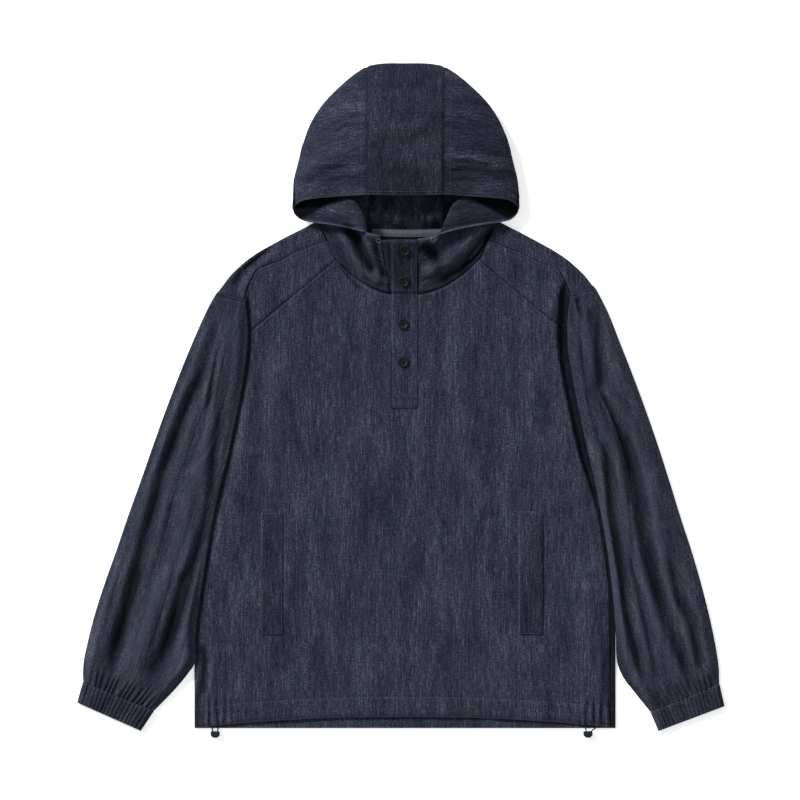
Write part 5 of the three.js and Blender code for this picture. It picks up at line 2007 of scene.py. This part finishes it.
# %% [markdown]
# ## Stitches
#
# The seams are felled and topstitched, mostly in two rows, with a thread close to the cloth's
# colour. Each stitch here is a small capsule laid on the cloth beneath it, 3.2 mm from the next.
# The rows of one panel make one piece. Real thread would go through the cloth; only what shows is
# made.

# %% Helpers for stitches
STITCH_PITCH = 3.2
STITCH_LONG = 2.3
STITCH_HALF = 0.33
STITCH_LIFT = 0.08  # its middle lies so little over the cloth that its lower half is sunk in
STITCH_SIDES = 6
# the capsule's rings: place along it from its middle, and share of its radius
CAPSULE = ((-0.5, 0.25), (-0.34, 0.9), (0.34, 0.9), (0.5, 0.25))
STEEPEST = 0.12  # no stitch lies where the cloth turns under


def walk(line, pitch):
    """Points every pitch millimetres along a line, with the direction there."""
    made = []
    left = pitch / 2
    for (ax, ay), (bx, by) in zip(line, line[1:]):
        length = math.hypot(bx - ax, by - ay)
        while left <= length:
            f = left / length
            made.append((lerp(ax, bx, f), lerp(ay, by, f), (bx - ax) / length, (by - ay) / length))
            left += pitch
        left -= length
    return made


def beside(line, offset):
    """A line moved sideways, to its left where offset is above 0."""
    made = []
    for i, (x, y) in enumerate(line):
        ax, ay = line[max(i - 1, 0)]
        bx, by = line[min(i + 1, len(line) - 1)]
        length = math.hypot(bx - ax, by - ay) or 1
        made.append((x - (by - ay) / length * offset, y + (bx - ax) / length * offset))
    return made


def stitch_rows(name, cloth_name, lines):
    """Capsules of thread along lines on a piece of cloth, as one object."""
    cloth = bpy.data.objects[cloth_name]
    points = []
    faces = []
    for x, y, dx, dy in (stitch for line in lines for stitch in walk(line, STITCH_PITCH)):
        place, normal = top_of(cloth, x, y)
        ahead, _ = top_of(cloth, x + dx * 0.8, y + dy * 0.8)
        if place is None or ahead is None or normal.z < STEEPEST:
            continue
        way = (ahead - place).normalized()
        side_way = normal.cross(way).normalized()
        up = way.cross(side_way)
        first = len(points)
        for share, wide in CAPSULE:
            middle = place + way * share * STITCH_LONG * MM + normal * STITCH_LIFT * MM
            radius = STITCH_HALF * wide * MM
            for k in range(STITCH_SIDES):
                angle = 2 * math.pi * k / STITCH_SIDES
                out = side_way * math.cos(angle) + up * math.sin(angle)
                points.append(middle + out * radius)
        for a in range(first, len(points) - STITCH_SIDES):
            b = a + 1 if (a + 1 - first) % STITCH_SIDES else a + 1 - STITCH_SIDES
            faces.append([a, b, b + STITCH_SIDES, a + STITCH_SIDES])
        corners = list(range(first, len(points)))
        faces += [corners[STITCH_SIDES - 1 :: -1], corners[-STITCH_SIDES:]]
    obj = mesh_object(name, points, faces)
    face_outwards(obj, 50)
    declare(obj, THREAD)
    print(name, len(points) // (STITCH_SIDES * len(CAPSULE)), "stitches")


def flat_line(points):
    """The x and y of some points of a grid."""
    return [(point[0], point[1]) for point in points]


bpy.context.view_layer.update()
print("a stitch is", STITCH_LONG, "mm long, one every", STITCH_PITCH, "mm")

# %% [markdown]
# ### Stitches of the body and the sleeves
#
# The hem has one row along the top of its band, and the neck seam one row below it. The slanting
# seams, the shoulder seams and the armholes have two rows each, 6 mm apart. A welt is sewn down on
# three sides, and the placket has a row on each edge and a box at its foot.

# %% Stitches of the body and the sleeves
FIRST_ROW = 2.0
SECOND_ROW = 8.0
HEM_HALF = 281
WELT_MARGIN = 2.2

front_lines = [[(x, hem_y(x) + HEM_BAND) for x in range(-HEM_HALF, HEM_HALF + 1, 6)]]
neck_line = [(x, front_top_y(x) - 2.2) for x in range(-96, 105, 4) if abs(x) > 22]
front_lines += [[p for p in neck_line if p[0] < 0], [p for p in neck_line if p[0] > 0]]
for sign in SIGNS.values():
    yoke_seam = [(sign * d, front_top_y(sign * d)) for d in range(110, 226, 4)]
    front_lines += [beside(yoke_seam, -sign * row) for row in (FIRST_ROW, SECOND_ROW)]
stitch_rows("stitches_front", "denim_front", front_lines)

for side, sign in SIGNS.items():
    upper = flat_line(GRIDS["yoke_" + side][-1][2:-2])
    yoke_lines = [beside(upper, -row) for row in (FIRST_ROW, SECOND_ROW)]
    stitch_rows("stitches_yoke_" + side, "denim_yoke_" + side, yoke_lines)
    armhole = flat_line(GRIDS["sleeve_" + side][0][7 : 3 + TOP_COLUMNS])
    if sign > 0:
        armhole.reverse()
    sleeve_lines = [beside(armhole, row) for row in (FIRST_ROW, SECOND_ROW)]
    stitch_rows("stitches_sleeve_" + side, "denim_sleeve_" + side, sleeve_lines)
    x_low, x_high, y_low, y_high = WELTS[side]
    welt_lines = [
        [(x_low + 2, y), (x_high - 2, y)] for y in (y_low + WELT_MARGIN, y_high - WELT_MARGIN)
    ]
    sewn_x = x_high - WELT_MARGIN if x_low < 0 else x_low + WELT_MARGIN
    welt_lines.append([(sewn_x, y_low + 2), (sewn_x, y_high - 2)])
    stitch_rows("stitches_welt_" + side, "denim_welt_" + side, welt_lines)

placket_lines = [
    [(PLACKET_RIGHT - 2.2, 460), (PLACKET_RIGHT - 2.2, 690)],
    [(PLACKET_RIGHT - 8.6, 478), (PLACKET_RIGHT - 8.6, 690)],
    [(PLACKET_LEFT + 2.4, 458.5), (PLACKET_LEFT + 2.4, 690)],
    [(PLACKET_LEFT + 3, 458.8), (PLACKET_RIGHT - 3, 458.8)],
    [(PLACKET_LEFT + 3, 476), (PLACKET_RIGHT - 3, 476)],
    [(PLACKET_LEFT + 5, PLACKET_TOP - 3), (PLACKET_RIGHT - 2, PLACKET_TOP - 3)],
]
stitch_rows("stitches_placket", "denim_placket_over", placket_lines)

# %% [markdown]
# ### Stitches of the hood
#
# The seams between the hood's sides and its centre are stitched on the side panels, near the seam,
# and the rim is stitched all round where its edge is turned in.

# %% Stitches of the hood
RIM_ROW = 5
SEAM_ROWS = slice(2, 70)
SEAM_COLUMNS = {"right": -3, "left": 2}

for part, column in SEAM_COLUMNS.items():
    rows = GRIDS["hood_" + part]
    seam = flat_line([row[column] for row in rows[SEAM_ROWS]])
    rim = flat_line(rows[RIM_ROW][2:-2])
    stitch_rows("stitches_hood_" + part, "denim_hood_" + part, [seam, rim])
stitch_rows("stitches_hood_centre", "denim_hood_centre", [flat_line(GRIDS["hood_centre"][RIM_ROW][1:-1])])
